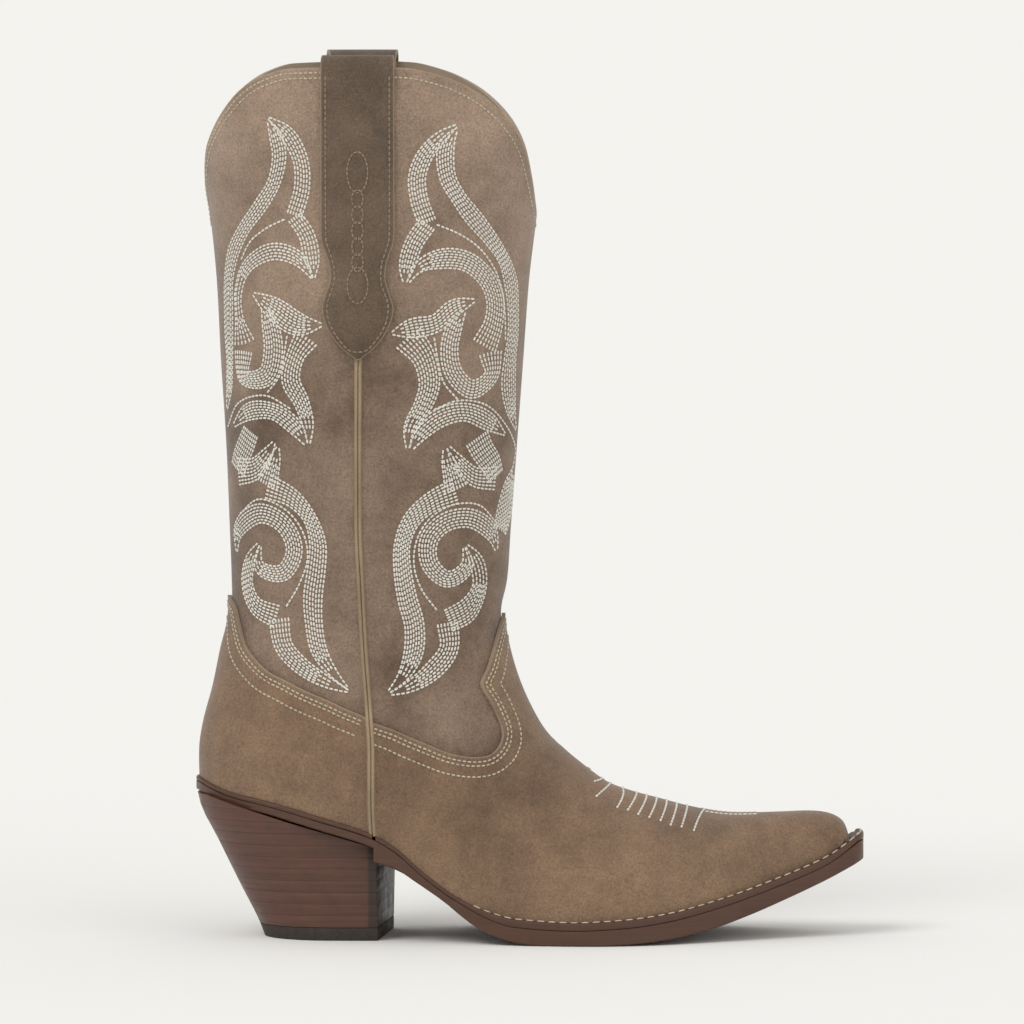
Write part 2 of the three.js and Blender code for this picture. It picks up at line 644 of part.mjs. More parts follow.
// Half grid of the foot between a top edge and the feather line, from the seam to the middle.
function footHalf(isFront, topEdge, topMiddle, columns, rows, lift = COVER_LIFT) {
  const middle = isFront ? HALF_TURN : 0;
  const shift = isFront ? SEAM_HALF_GAP : -SEAM_HALF_GAP;
  const ordered = isFront ? topEdge : [...topEdge].reverse();
  const [, startZ] = ordered[0];
  const highest = placeAtHeight(middle, topMiddle);
  const top = [locate(seamX(startZ) + shift, startZ)]
    .concat(trace(ordered).slice(3))
    .concat([[highest, middle]]);
  const footX = seamX(feather(SEAM_FOOT_X)) + shift;
  const endX = isFront ? TOE_CORNER_X : HEEL_END_X;
  const lowest = isFront ? LAST_PLACE : placeAtHeight(0, feather(HEEL_END_X) + lift);
  const samples = 40;
  const bottom = featherPath(lift, footX, endX, samples)
    .slice(0, isFront ? samples + 1 : samples - 1)
    .concat([[lowest, middle]]);
  const left = seamSide(startZ, feather(footX) + lift, shift);
  left[0] = top[0];
  left[left.length - 1] = bottom[0];
  const right = middleSide(middle, highest, lowest);
  return patch({ top, bottom, left, right, columns, rows, gap: isFront ? footGap : faceGap });
}

// The same grid with only the listed rows, so that the layers under a piece bend with it.
const rowsOf = (grid, rows) => grid.map((line) => rows.map((j) => line[j]));
const from = (first, last) => Array.from({ length: last - first + 1 }, (_, k) => first + k);

const FRONT_ROWS = 14;
const BACK_ROWS = 12;
const VAMP_ROWS = 14;
const VAMP_COLUMNS = 17;
const COUNTER_ROWS = 8;
const PUFF_FIRST_COLUMN = 12;
const PUFF_FIRST_ROW = 10;
const frontHalf = shaftHalf(true, FRONT_UNDERLAP, FRONT_UNDERLAP_MIDDLE, 10, FRONT_ROWS);
const backHalf = shaftHalf(false, BACK_UNDERLAP, BACK_UNDERLAP_MIDDLE, 10, BACK_ROWS);
const vampShape = [true, VAMP_EDGE, TONGUE_TIP_HEIGHT, VAMP_COLUMNS, VAMP_ROWS];
const vampHalf = footHalf(...vampShape);
const counterHalf = footHalf(false, COUNTER_EDGE, COUNTER_PEAK_HEIGHT, 11, COUNTER_ROWS);

// A sheet trimmed just above the welt, keeping its main body.
function trimmed(geometry, rise = CLEARANCE) {
  const below = band(-TRIM_REACH, TRIM_REACH, (x) => feather(x) + rise, () => -TRIM_DEPTH);
  const bodies = toManifold(geometry).subtract(below).decompose();
  bodies.sort((a, b) => b.volume() - a.volume());
  return fromManifold(bodies[0]);
}

add('front_shaft_panel', 'suede', sheet(bothSides(frontHalf), PANEL_OUT, PANEL_IN));
add('back_shaft_panel', 'suede', sheet(bothSides(backHalf), PANEL_OUT, PANEL_IN));
add('vamp', 'suede', trimmed(sheet(bothSides(vampHalf), COVER_OUT, COVER_IN)));
add('counter_cover', 'suede', trimmed(sheet(bothSides(counterHalf), COVER_OUT, COVER_IN)));

const frontLining = rowsOf(frontHalf, from(0, FRONT_ROWS - 1));
const backLining = rowsOf(backHalf, from(0, BACK_ROWS - 1));
add('shaft_lining_front', 'lining_leather', sheet(bothSides(frontLining), LINING_OUT, LINING_IN));
add('shaft_lining_back', 'lining_leather', sheet(bothSides(backLining), LINING_OUT, LINING_IN));
const vampInside = footHalf(...vampShape, LINING_LIFT);
const vampLining = rowsOf(vampInside, from(5, VAMP_ROWS));
const heelLining = rowsOf(counterHalf, from(3, COUNTER_ROWS));
add('vamp_lining', 'lining_leather', sheet(bothSides(vampLining), VAMP_LINING_OUT, VAMP_LINING_IN));
add('heel_lining', 'lining_leather', trimmed(sheet(bothSides(heelLining), LINING_OUT, LINING_IN)));
add('heel_stiffener', 'board', trimmed(sheet(bothSides(heelLining), PANEL_OUT, PANEL_IN)));
const puffHalf = rowsOf(vampHalf.slice(PUFF_FIRST_COLUMN), from(PUFF_FIRST_ROW, VAMP_ROWS));
add('toe_puff', 'board', trimmed(sheet(bothSides(puffHalf), PUFF_OUT, PUFF_IN), PUFF_RISE));

// ---------------------------------------------------------------- piping and pull straps

function pipingRing(z, side) {
  const out = along(PIPING_RISE, z);
  const shoulder = out - PIPING_SHOULDER;
  const half = PIPING_HALF_WIDTH;
  const outline = [
    [-half, PANEL_IN], [-half, shoulder], [-half / 2, out],
    [half / 2, out], [half, shoulder], [half, PANEL_IN],
  ];
  return outline.map(([dx, offset]) => {
    const [place, angle] = locate(seamX(z) + dx, z);
    return skinPoint(place, side * angle, offset);
  });
}

function piping(side) {
  const bottom = feather(SEAM_FOOT_X) + COVER_LIFT + 0.4;
  const heights = [MOUTH_SIDE_HEIGHT - 0.6, 345, 320, 295, 270, 250, 244, 241.5, 225, 208, 190, 172,
    154, 138, 122, 108, 99, 95, 92, 84, 74, 64, 55, bottom];
  const rings = heights.map((z) => pipingRing(z, side));
  return closeUp(capped(rings));
}

function pullStrap(side) {
  const halfThick = PULL_STRAP_THICKNESS / 2;
  const legOffset = CLEARANCE + halfThick;
  const route = PULL_STRAP_OUTLINE.map(([z]) => [legOffset, z]).concat(PULL_STRAP_LOOP);
  const fullWidth = PULL_STRAP_OUTLINE[PULL_STRAP_OUTLINE.length - 1][1];
  const width = (k) => (k < PULL_STRAP_OUTLINE.length ? PULL_STRAP_OUTLINE[k][1] : fullWidth);
  const across = [-1, -0.5, 0, 0.5, 1];
  const face = (sign) => route.map(([offset, z], k) => {
    const before = route[Math.max(k - 1, 0)];
    const after = route[Math.min(k + 1, route.length - 1)];
    const run = [after[0] - before[0], after[1] - before[1]];
    const length = Math.hypot(...run);
    const n = offset + (sign * halfThick * run[1]) / length;
    const height = z - (sign * halfThick * run[0]) / length;
    return across.map((share) => {
      const [place, angle] = locate(PULL_STRAP_X + share * width(k), height);
      return skinPoint(place, side * angle, n);
    });
  });
  return shell(face(1), face(-1));
}

for (const [name, side] of [['lateral', 1], ['medial', -1]]) {
  add(`side_welt_${name}`, 'seam_leather', piping(side));
  add(`pull_strap_${name}`, 'suede', pullStrap(side));
}

// ---------------------------------------------------------------- bottom of the boot

const weltTop = feather;
const weltBottom = (x) => feather(x) - weltThickness(x);
const soleTop = (x) => weltBottom(x) - CLEARANCE;
const seatBottom = (x) => soleTop(x) - SEAT_SOLE_THICKNESS;
const heelTop = (x) => seatBottom(x) - CLEARANCE;
const insoleBottom = (x) => feather(x) + CLEARANCE + 0.2;
const insoleTop = (x) => insoleBottom(x) + INSOLE_THICKNESS;

// Turned pin with a head, standing upright with its top at a point; grown makes its hole.
function pin(x, y, top, length, radius, headRadius, grown) {
  const headHeight = headRadius > radius ? 1 : 0;
  const profile = [
    [0, -length - grown], [radius * 0.4 + grown, -length - grown], [radius + grown, -length + 2],
    [radius + grown, -headHeight - grown], [headRadius + grown, -headHeight - grown],
    [headRadius + grown, grown * 10], [0, grown * 10],
  ].filter(([r, z], i, all) => i === 0 || r !== all[i - 1][0] || z !== all[i - 1][1]);
  const turned = new THREE.LatheGeometry(profile.map(([r, z]) => new THREE.Vector2(r, z)), 8);
  turned.rotateX(QUARTER_TURN);
  turned.translate(x, y, top);
  return turned;
}

const pinTop = (x) => insoleTop(x) - PIN_SINK;
const pegTop = (x) => insoleBottom(x) + PEG_REACH;
const heelPins = HEEL_NAILS.map(([x, y]) => ({ ...NAIL_SIZE, x, y, top: pinTop(x) }))
  .concat({ ...SCREW_SIZE, ...HEEL_SCREW, top: pinTop(HEEL_SCREW.x) });
const pegs = SHANK_PEGS.map(([x, y]) => ({
  x,
  y,
  top: pegTop(x),
  radius: PEG_RADIUS,
  head: PEG_RADIUS,
  length: pegTop(x) - tread(x) - PEG_END_GAP,
}));

// A pin's own shape, or with extra length and growth the hole that it stands in.
function pinShape(p, extra, grown) {
  return pin(p.x, p.y, p.top, p.length + extra, p.radius, p.head, grown);
}

function drilled(solid) {
  const holes = [
    ...heelPins.map((p) => pinShape(p, 0, CLEARANCE)),
    ...pegs.map((p) => pinShape(p, PEG_HOLE_EXTRA, CLEARANCE)),
  ];
  return holes.reduce((rest, hole) => rest.subtract(toManifold(hole)), solid);
}

const weltRing = soleBlock.subtract(insideWelt).intersect(band(SOLE_BACK, SOLE_FRONT, weltTop, weltBottom));
add('welt', 'sole_leather', fromManifold(weltRing.intersect(aheadOfBreast)));
add('heel_rand', 'sole_leather', fromManifold(weltRing.intersect(behindBreast)));

const forepart = band(BREAST_X - 9.6, SOLE_FRONT, soleTop, tread).intersect(aheadOfBreast);
const seat = band(SOLE_BACK, SEAT_FRONT, soleTop, seatBottom);
add('outsole', 'sole_leather', fromManifold(drilled(soleBlock.intersect(forepart.add(seat)))));

const boardBand = band(SOLE_BACK, SOLE_FRONT, insoleTop, insoleBottom);
add('insole_board', 'board', fromManifold(drilled(insideLining.intersect(boardBand))));
const sockBottom = (x) => insoleTop(x) + CLEARANCE;
const sockTop = (x) => sockBottom(x) + SOCK_THICKNESS;
const sockPlan = planPrism(shrunkOutline(SOCK_MARGIN), PRISM_LOW, PRISM_HIGH);
const sockBand = band(SOLE_BACK, SOLE_FRONT, sockTop, sockBottom);
add('sock_liner', 'lining_leather', fromManifold(sockPlan.intersect(sockBand)));

const fillerOutline = shrunkOutline(WELT_INNER + 2 * CLEARANCE);
const fillerPlan = planPrism(fillerOutline, PRISM_LOW, PRISM_HIGH);
const fillerTop = (x) => feather(x) + FILLER_RISE;
const fillerBottom = (x) => weltBottom(x) + FILLER_RISE;
const fillerBand = band(FILLER_BACK, FILLER_FRONT, fillerTop, fillerBottom);
add('cork_filler', 'cork', fromManifold(fillerPlan.intersect(fillerBand)));

const [shankBack, shankFront, shankHalf] = SHANK;
const shankPlan = planPrism(
  [[shankBack, -shankHalf], [shankFront, -shankHalf], [shankFront, shankHalf], [shankBack, shankHalf]],
  PRISM_LOW,
  PRISM_HIGH,
);
const shankTop = (x) => feather(x) - SHANK_DROP;
const shankBottom = (x) => shankTop(x) - SHANK_THICKNESS;
const shankBand = band(shankBack - 1, shankFront + 1, shankTop, shankBottom);
add('steel_shank', 'steel', fromManifold(shankPlan.intersect(shankBand)));

// ---------------------------------------------------------------- stacked heel

function heelRing(z) {
  const back = along(HEEL_PROFILE.map(([height, x]) => [height, x]), z);
  const half = along(HEEL_PROFILE.map(([height, , w]) => [height, w]), z);
  const roundEnd = back + HEEL_ROUND * half;
  const steps = 16;
  const ring = [new THREE.Vector3(BREAST_X + HEEL_SPARE, -half, z)];
  for (let k = 0; k <= steps; k += 1) {
    const turn = (HALF_TURN * k) / steps;
    const x = roundEnd - (roundEnd - back) * Math.sin(turn) ** HEEL_FULLNESS;
    ring.push(new THREE.Vector3(x, -half * Math.cos(turn), z));
  }
  ring.push(new THREE.Vector3(BREAST_X + HEEL_SPARE, half, z));
  return ring;
}

const heelHeights = [0, CAP_THICKNESS, 14, 24, 34, 44, 56, 70];
const heelBlock = toManifold(capped(heelHeights.map(heelRing)))
  .intersect(behindBreast)
  .subtract(band(-150, -40, () => 100, heelTop));
const drilledHeel = drilled(heelBlock);

function slab(solid, low, high) {
  return solid.intersect(sidePrism([[-160, low], [-40, low], [-40, high], [-160, high]]));
}

add('heel_cap', 'rubber', fromManifold(slab(heelBlock, 0, CAP_THICKNESS - CLEARANCE)));
for (let k = 0; k < LIFT_COUNT; k += 1) {
  const low = CAP_THICKNESS + k * LIFT_PITCH;
  const lift = slab(drilledHeel, low, low + LIFT_PITCH - CLEARANCE);
  add(`heel_lift_${k + 1}`, 'heel_leather', fromManifold(lift));
}

heelPins.forEach((p, k) => {
  const name = k < HEEL_NAILS.length ? `heel_nail_${k + 1}` : 'heel_screw';
  add(name, 'steel', closeUp(pinShape(p, 0, 0)));
});
pegs.forEach((p, k) => {
  add(`shank_peg_${k + 1}`, 'wood', closeUp(pinShape(p, 0, 0)));
});

export default group;
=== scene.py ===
import math

import bmesh
import bpy
import numpy as np
from mathutils import Matrix, Vector, kdtree


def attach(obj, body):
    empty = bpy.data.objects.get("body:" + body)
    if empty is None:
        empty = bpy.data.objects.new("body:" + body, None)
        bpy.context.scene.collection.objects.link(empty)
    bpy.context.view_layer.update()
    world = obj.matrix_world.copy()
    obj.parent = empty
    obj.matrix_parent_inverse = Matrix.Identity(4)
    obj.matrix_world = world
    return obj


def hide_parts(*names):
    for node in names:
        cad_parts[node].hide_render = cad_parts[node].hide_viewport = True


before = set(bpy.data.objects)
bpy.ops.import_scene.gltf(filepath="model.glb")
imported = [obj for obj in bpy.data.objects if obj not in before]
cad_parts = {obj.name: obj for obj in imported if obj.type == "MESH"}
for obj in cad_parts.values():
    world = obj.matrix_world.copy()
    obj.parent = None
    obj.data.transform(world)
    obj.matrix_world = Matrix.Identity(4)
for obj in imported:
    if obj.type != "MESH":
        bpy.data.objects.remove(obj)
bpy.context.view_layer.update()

bl_info = {
    "name": "Cowboy boot",
    "version": (1, 0, 0),
    "blender": (4, 5, 0),
    "location": "View3D > Sidebar > Boot",
    "description": "Dresses the boot frame with suede, stitching, welt and stacked heel",
    "category": "Object",
}

MM = 0.001
HALF_TURN = math.pi
FULL_TURN = 2 * math.pi
SHARP_CORNER = math.radians(40)
SEARCH_STEPS = 30

# ------------------------------------------------------------------ shape of the lasted boot
# Millimetres in the frame: +X to the toe, +Y to the inner side, +Z up.

# Cross-sections from above the mouth down the shaft, round the heel and out to the toe:
# back X, back Z, front X, front Z, outer half-width, inner half-width, swing, fullness.
SECTIONS = np.array([
    (-139, 382, 7, 382, 50, 50, 0, 1),
    (-138, 345, 6, 345, 49.3, 49.3, 0, 1),
    (-136.4, 318, 4.4, 318, 48.5, 48.5, 0, 1),
    (-133.8, 302, 2.9, 302, 47.6, 47.6, 0, 1),
    (-131.2, 276, -0.2, 276, 46.3, 46.3, 0, 1),
    (-129.5, 242, -2.7, 242, 44.5, 44.5, 0, 1),
    (-127.4, 208, -5.2, 208, 42, 42, 0, 1),
    (-126, 173, -7.8, 173, 38.8, 38.8, 0, 1),
    (-125.2, 150, -9.3, 151, 36.5, 36.5, 0, 1),
    (-125.2, 134, -12, 137, 35, 35, 0, 1),
    (-128.4, 120, -10.5, 123.5, 34, 34, 0, 1),
    (-131.5, 105, -6, 107.5, 33.5, 33.5, 0, 1),
    (-135.5, 90, 0, 94, 33.5, 33.5, 0, 1),
    (-137.2, 77, 6.2, 83.6, 34, 34, 0, 1),
    (-136, 58, 12, 78.5, 34.5, 34.5, 0, 1),
    (-131, 42, 16, 75, 34.5, 34.5, -0.5, 1),
    (-120, 24, 20, 71.8, 34.5, 34, -1, 1),
    (-98, -3, 26, 67.2, 34, 32.5, -1.5, 1),
    (-75, -27, 33, 62.6, 35, 33, -1.5, 1),
    (-45, -42, 43, 59, 38.5, 36, -1, 1),
    (-8, -46, 55, 55.7, 42, 39.5, 0, 0.98),
    (28, -44, 67, 52.4, 40, 37.5, 1.5, 0.95),
    (62, -31, 83, 49.5, 31.5, 30.5, 3.5, 0.9),
    (90, -8, 102, 49.5, 22, 21.5, 5, 0.85),
    (110, 11, 117, 50, 15.5, 15.5, 6, 0.8),
    (121.5, 21, 125, 49.2, 12.5, 12.5, 6.5, 0.8),
    (128, 31, 129.8, 47, 11, 11, 6.5, 0.8),
    (130.8, 35, 131.7, 44, 10, 10, 6.5, 0.8),
    (132.3, 37.8, 132.8, 39.8, 9, 9, 6.5, 0.8),
])
LAST_PLACE = len(SECTIONS) - 1

# Height of the mouth by the angle in degrees from the side of the shaft.
TOPLINE_FRONT = [(0, 366.5), (12, 366), (24, 362.8), (36, 357), (46, 350), (56, 341),
                 (64, 331.5), (72, 318.5), (80, 308), (90, 302)]
TOPLINE_BACK = [(0, 366.5), (28, 365.6), (38, 362.6), (48, 357), (58, 348.5), (68, 339),
                (77, 330), (84, 318), (90, 302)]
MOUTH_SIDE_HEIGHT = 366.3

# Side-view lines (X, Z).
FEATHER = [(-139, 67.5), (-127, 62.8), (-107, 58.5), (-88, 53.2), (-66, 46.4), (-56, 40.6),
           (-44, 30), (-30, 20), (-18, 14.2), (-5, 11), (18, 9.8), (40, 10.8), (58, 13),
           (80, 18), (103, 25.3), (125, 34), (139, 43.5)]
TREAD = [(-66, 34.6), (-55, 31), (-46, 25.1), (-36, 18.2), (-26, 10), (-18, 5), (-11, 2.5),
         (-3, 0.6), (6, 0), (30, 0), (42, 0.5), (58, 2.1), (75, 5.4), (91.5, 10.5),
         (108, 16.9), (125, 24.3), (142, 33)]
SIDE_SEAM = [(-64.8, 40), (-65.9, 60), (-66, 80), (-67, 97), (-69, 125), (-70.2, 150),
             (-71.2, 175), (-71.2, 200), (-71, 245), (-71, 300), (-71, 382)]  # X, Z upwards
VAMP_EDGE = [(-66.9, 92.7), (-57.6, 89.9), (-49.7, 86.3), (-41.8, 82.9), (-33.9, 79.5),
             (-25.5, 77.6), (-18.9, 77.6), (-15.1, 79.3), (-12.5, 82.8), (-11.7, 87.3),
             (-13.1, 92.2), (-16.2, 99), (-19.7, 104.6), (-21, 107.9), (-18.1, 114.3),
             (-16.2, 120.8), (-14.6, 126.4), (-13, 132)]
TONGUE_TIP_HEIGHT = 136
COUNTER_EDGE = [(-66.9, 94.8), (-75.1, 97.7), (-83, 101.4), (-93.5, 105.8), (-101.5, 109.8),
                (-108.7, 113.3), (-114.3, 118.4), (-118.2, 123.9), (-120.6, 132),
                (-122.1, 138.5), (-124.4, 142)]
COUNTER_PEAK_HEIGHT = 143.5
FRONT_UNDERLAP = [(-65.9, 79), (-50, 73), (-35, 67.5), (-20, 65), (-8, 68), (-1, 76)]
FRONT_UNDERLAP_MIDDLE = 92
BACK_UNDERLAP = [(-65.9, 83), (-79, 88), (-92, 94.5), (-106, 102), (-118, 110), (-126, 118),
                 (-133, 125)]
BACK_UNDERLAP_MIDDLE = 128

# Layers, as distances from the face of the shaft panels.
COVER_OUT = 1.9
COVER_IN = 0.3
PANEL_OUT = 0.0
PANEL_IN = -1.6
LINING_OUT = -1.7
LINING_IN = -3.1
SEAM_HALF_GAP = 1.3
FOOT_SINK = -0.8  # the upper runs this far below the top of the welt

# Bottom.
WELT_OVERHANG = 5.2
WAIST_OVERHANG = 3.0
HEEL_OVERHANG = 3.4
TOE_EXTRA = 3.0
WELT_THICKNESS = 3.4
WAIST_WELT_THICKNESS = 2.2
WELT_INNER = 7.0
WAIST_START = -30.0
WELT_FULL = -8.0
SEAT_SOLE_THICKNESS = 3.5
BREAST_X = -60.4
BREAST_SKEW = 0.12
TOE_CORNER_X = 132.6
HEEL_END_X = -137.5
HEEL_BACK = [(0, -111.5), (5.6, -113.6), (21, -121.4), (41, -131.2), (56.4, -138.7),
             (70, -141.2)]
HEEL_HALF = [(0, 24.5), (5.6, 25), (21, 27.2), (41, 30), (56.4, 32.5), (70, 33.5)]
CAP_THICKNESS = 5.6
LIFT_PITCH = 5.0
LIFT_COUNT = 11

# Side welt beads and pull straps.
PIPING_RISE = [(40, 3), (92, 3), (98, 1.2), (241, 1.2), (246, 0), (370, 0)]
PIPING_HALF_WIDTH = 1.5
STRAP_X = -71
STRAP_THICKNESS = 1.8
STRAP_OUTLINE = [(245, 0.8), (248, 4.6), (251.5, 8.1), (256.5, 11.6), (262, 13.9),
                 (267, 14.5), (272, 13.2), (278, 11.4), (284, 11.6), (289, 13),
                 (296, 14.9), (314, 15), (340, 15), (359, 15)]  # height, half-width
STRAP_LOOP = [(1.3, 365), (0.6, 369), (-2.2, 370.4), (-6.4, 368.6), (-10.6, 363),
              (-13.8, 350), (-14.4, 334), (-11.4, 318), (-7, 307), (-4.5, 299),
              (-4.4, 293)]  # distance from the face, height

# ------------------------------------------------------------------ embroidery drawing
# Each band is a list of stations along its middle: X, Z and half-width. It is filled with
# parallel rows of stitches, and runs to a point where its half-width is nought.
FRONT_BANDS = {
    "flame_inner": [(-28.4, 343.1, 0), (-36.4, 337.5, 2.3), (-43, 330.1, 3.2), (-46.4, 321, 3.5),
        (-45.5, 311.1, 3.5), (-42.1, 301.6, 3.7)],
    "flame_foot": [(-42.1, 301.6, 3.7), (-47.6, 293.6, 3.6), (-50.6, 284.3, 3.2),
        (-51.8, 275.2, 0)],
    "flame_outer": [(-29.4, 341.8, 0), (-34.4, 333.1, 3.4), (-34, 321.4, 3.4), (-29.4, 312.2, 3.1),
        (-22.9, 303.4, 3.6), (-16.6, 295.3, 3.1), (-10.8, 286, 2.8), (-7.7, 275.6, 4),
        (-6.8, 265.4, 3.8), (-6.8, 254.4, 3.9), (-8, 244.2, 4.3), (-8.6, 233.3, 5.1),
        (-7.7, 223.1, 3.8), (-5.6, 212.5, 0)],
    "arch_high": [(-51.4, 275.2, 0), (-45.6, 283.5, 2.2), (-36.1, 286.8, 4), (-26, 285.4, 3.9),
        (-18.1, 278.5, 3.9), (-14.2, 269.1, 4.6), (-15, 258.6, 5.1), (-18.8, 249.2, 6.4)],
    "hook_high": [(-16, 247.6, 6.1), (-15.8, 237.5, 3.6), (-23.7, 231.8, 3.6),
        (-31.1, 238.5, 3.7), (-33.2, 248.6, 3.7), (-30.8, 259, 3.2), (-26, 266, 0)],
    "leaf_high": [(-58.1, 255.6, 0), (-48.8, 257.9, 3.8), (-38.9, 259.8, 3.6), (-31, 266.2, 3.5),
        (-21.7, 269.4, 0.2)],
    "stem_high": [(-50.6, 254.5, 6.3), (-43.9, 245.9, 4.8), (-41.4, 235.1, 4.3),
        (-44.1, 225.8, 3.7), (-49.4, 216.2, 2.6), (-50.7, 205.4, 0)],
    "arch_middle": [(-49.9, 205.8, 0), (-44.8, 214.5, 3.2), (-36.4, 220.7, 3.9),
        (-26.4, 222.4, 3.6), (-17, 218, 3.6), (-9.5, 211.4, 0)],
    "link_middle": [(-21.9, 211.8, 5.9), (-19.4, 206, 5.5), (-16, 200.5, 5.3),
        (-13.9, 194.5, 4.5)],
    "leaf_middle": [(-13.9, 193.9, 4.8), (-22.9, 195.1, 3.8), (-29.8, 201.7, 2.8),
        (-34.6, 209.7, 0)],
    "stem_middle": [(-35.2, 207.2, 0.7), (-33.6, 201.5, 2.9), (-32, 195.5, 3.9),
        (-30.5, 189.6, 5.2)],
    "sweep_low": [(-30.5, 189.4, 5.3), (-40.8, 185, 4.1), (-49, 177.5, 3.5), (-52.9, 167.1, 3.2),
        (-52.7, 155.8, 3.5), (-50.7, 144.1, 3.9), (-47.9, 133.2, 4), (-48.3, 121.9, 3.9),
        (-52.6, 111.9, 2.3), (-60.1, 103.8, 0)],
    "hook_low": [(-60.1, 103.8, 0), (-49.6, 107.7, 2.3), (-40.2, 114.2, 3.8), (-33.5, 123.1, 4),
        (-34.1, 134.3, 4.6)],
    "curl_low": [(-34.1, 134.7, 4.8), (-25.4, 139.5, 5.2), (-20.8, 148.8, 3.7),
        (-22.1, 159.1, 3.3), (-27.6, 167.9, 0)],
    "ring_low": [(-27.6, 167.9, 0), (-26.1, 157.4, 2.9), (-34, 152.3, 3.2), (-41.4, 159.1, 3.5),
        (-41.6, 169.4, 3.8), (-34.7, 176.5, 3.9), (-24.4, 177.6, 3.8), (-16.1, 171.4, 3.4),
        (-13.5, 161.4, 0)],
    "spark_low": [(-12.3, 171.4, 4.8), (-9.8, 180.6, 6.9), (-7.9, 190.1, 6.3), (-6.5, 199.4, 0)],
}
FRONT_LINES = [
    [(-38.6, 301.1), (-29, 296.9), (-20.7, 290.8), (-14.7, 282.3), (-11.4, 272.5), (-10.3, 262.1),
        (-10.1, 251.7)],
    [(-39.5, 254.2), (-38, 244.5), (-35.6, 235.1), (-29.6, 227.6)],
    [(-39.9, 223.7), (-29.2, 227.4), (-18.1, 225.1), (-10.4, 216.8), (-6.2, 206.3), (-7.7, 195)],
    [(-13.9, 175.2), (-21, 183.1), (-31.6, 183.7), (-41.1, 178.5), (-46.8, 169.3), (-48, 158.5),
        (-44.8, 148.2), (-38.5, 139.3)],
]
BACK_BANDS = {
    "flame_inner": [(-109.2, 345.9, 0), (-100.3, 338.5, 3), (-94.8, 327.9, 3.1),
        (-94.2, 316.1, 3.2), (-97.5, 304.5, 3.2)],
    "flame_foot": [(-97.5, 304.5, 3.2), (-92.2, 296.4, 3.3), (-90.2, 286.8, 3.2),
        (-89.2, 277.6, 0)],
    "flame_outer": [(-108.8, 345, 0), (-105.4, 338, 2.6), (-103.7, 329.3, 3), (-106, 318.2, 2.7),
        (-111.8, 308.4, 2.9), (-118.4, 299.1, 2.7), (-123.3, 288.9, 3.3), (-125.5, 277.2, 3.2),
        (-125.7, 265.7, 3.5), (-125.6, 254.3, 3.4), (-125.2, 242.9, 2.5), (-125.5, 231.5, 2.4),
        (-126.7, 220.2, 0)],
    "arch_high": [(-89.2, 277.6, 0), (-96, 286.8, 2.9), (-106.8, 289.5, 3.3), (-117, 283.5, 2.6),
        (-121.2, 272.8, 2.1), (-120.9, 261.1, 2.4), (-118.8, 250, 6.2)],
    "hook_high": [(-119.4, 247.8, 5.2), (-119, 236.4, 3.2), (-109.4, 237.5, 4.1),
        (-106.5, 248.5, 4.4), (-108.2, 260.3, 3.6), (-111.5, 267, 0)],
    "leaf_high": [(-115.9, 272.3, 0), (-106.5, 265.9, 4.6), (-96.2, 259.5, 4.7),
        (-84.7, 259.3, 0)],
    "stem_high": [(-92.2, 254.4, 5.3), (-97.1, 246.1, 3.7), (-99.2, 235.9, 4), (-95, 227.5, 3.3),
        (-92, 217.6, 2.3), (-91.6, 207.4, 0)],
    "arch_middle": [(-91.6, 207.4, 0), (-97.5, 216.5, 3.3), (-106.9, 222.7, 3.3),
        (-117.3, 221.9, 3.4), (-124.9, 214.1, 0)],
    "link_middle": [(-116.2, 214, 4.2), (-118.3, 208.3, 4.8), (-120.6, 202.6, 5.1),
        (-122.2, 196.9, 5.3)],
    "leaf_middle": [(-122, 196.5, 5.6), (-114.7, 198.1, 4.4), (-109.4, 204.3, 2.7),
        (-105.5, 211.2, 0)],
    "stem_middle": [(-104.6, 207.8, 0.5), (-106.1, 202.4, 2.7), (-107.9, 196.8, 4),
        (-109.4, 191.2, 5.1)],
    "sweep_low": [(-109.4, 191.2, 5.1), (-99.1, 186.8, 3.8), (-91.6, 178.6, 2.8),
        (-88.1, 167.9, 3.4), (-88.7, 156.8, 3.7), (-90.2, 145.1, 3.9), (-89.8, 133.9, 3.5),
        (-87.7, 122.8, 3.2), (-81.9, 113.5, 1.8), (-74.3, 105.4, 0)],
    "hook_low": [(-74.3, 105.2, 0.2), (-85, 109.8, 2.4), (-94.9, 115.9, 3.4),
        (-102.6, 124.3, 3.9), (-104.7, 135.8, 4.6)],
    "curl_low": [(-105.1, 136.3, 4.7), (-114.2, 140.3, 3.7), (-118.1, 149.5, 3.4),
        (-116.6, 159.5, 2.8), (-112, 168.4, 0)],
    "ring_low": [(-112, 168.4, 0), (-112.8, 157, 2.6), (-102.9, 154.9, 3.3), (-97.9, 164.7, 3.5),
        (-102.4, 175.3, 3.7), (-112.6, 179.5, 3.9), (-121.5, 172.5, 3.6), (-122.5, 161.2, 0)],
}
BACK_LINES = [
    [(-101.3, 303.2), (-109.3, 299.1), (-116.1, 293.4), (-120.1, 285.5)],
    [(-100.6, 254.8), (-102, 246), (-104, 237.4), (-109.2, 230.3)],
    [(-126.3, 214.7), (-121.3, 225.6), (-110, 229.2), (-99.1, 223.9)],
    [(-121.1, 178.7), (-113, 185.5), (-102.2, 182), (-94.7, 173.3), (-92.3, 161.9),
        (-95.7, 150.8), (-101.5, 140.6)],
]

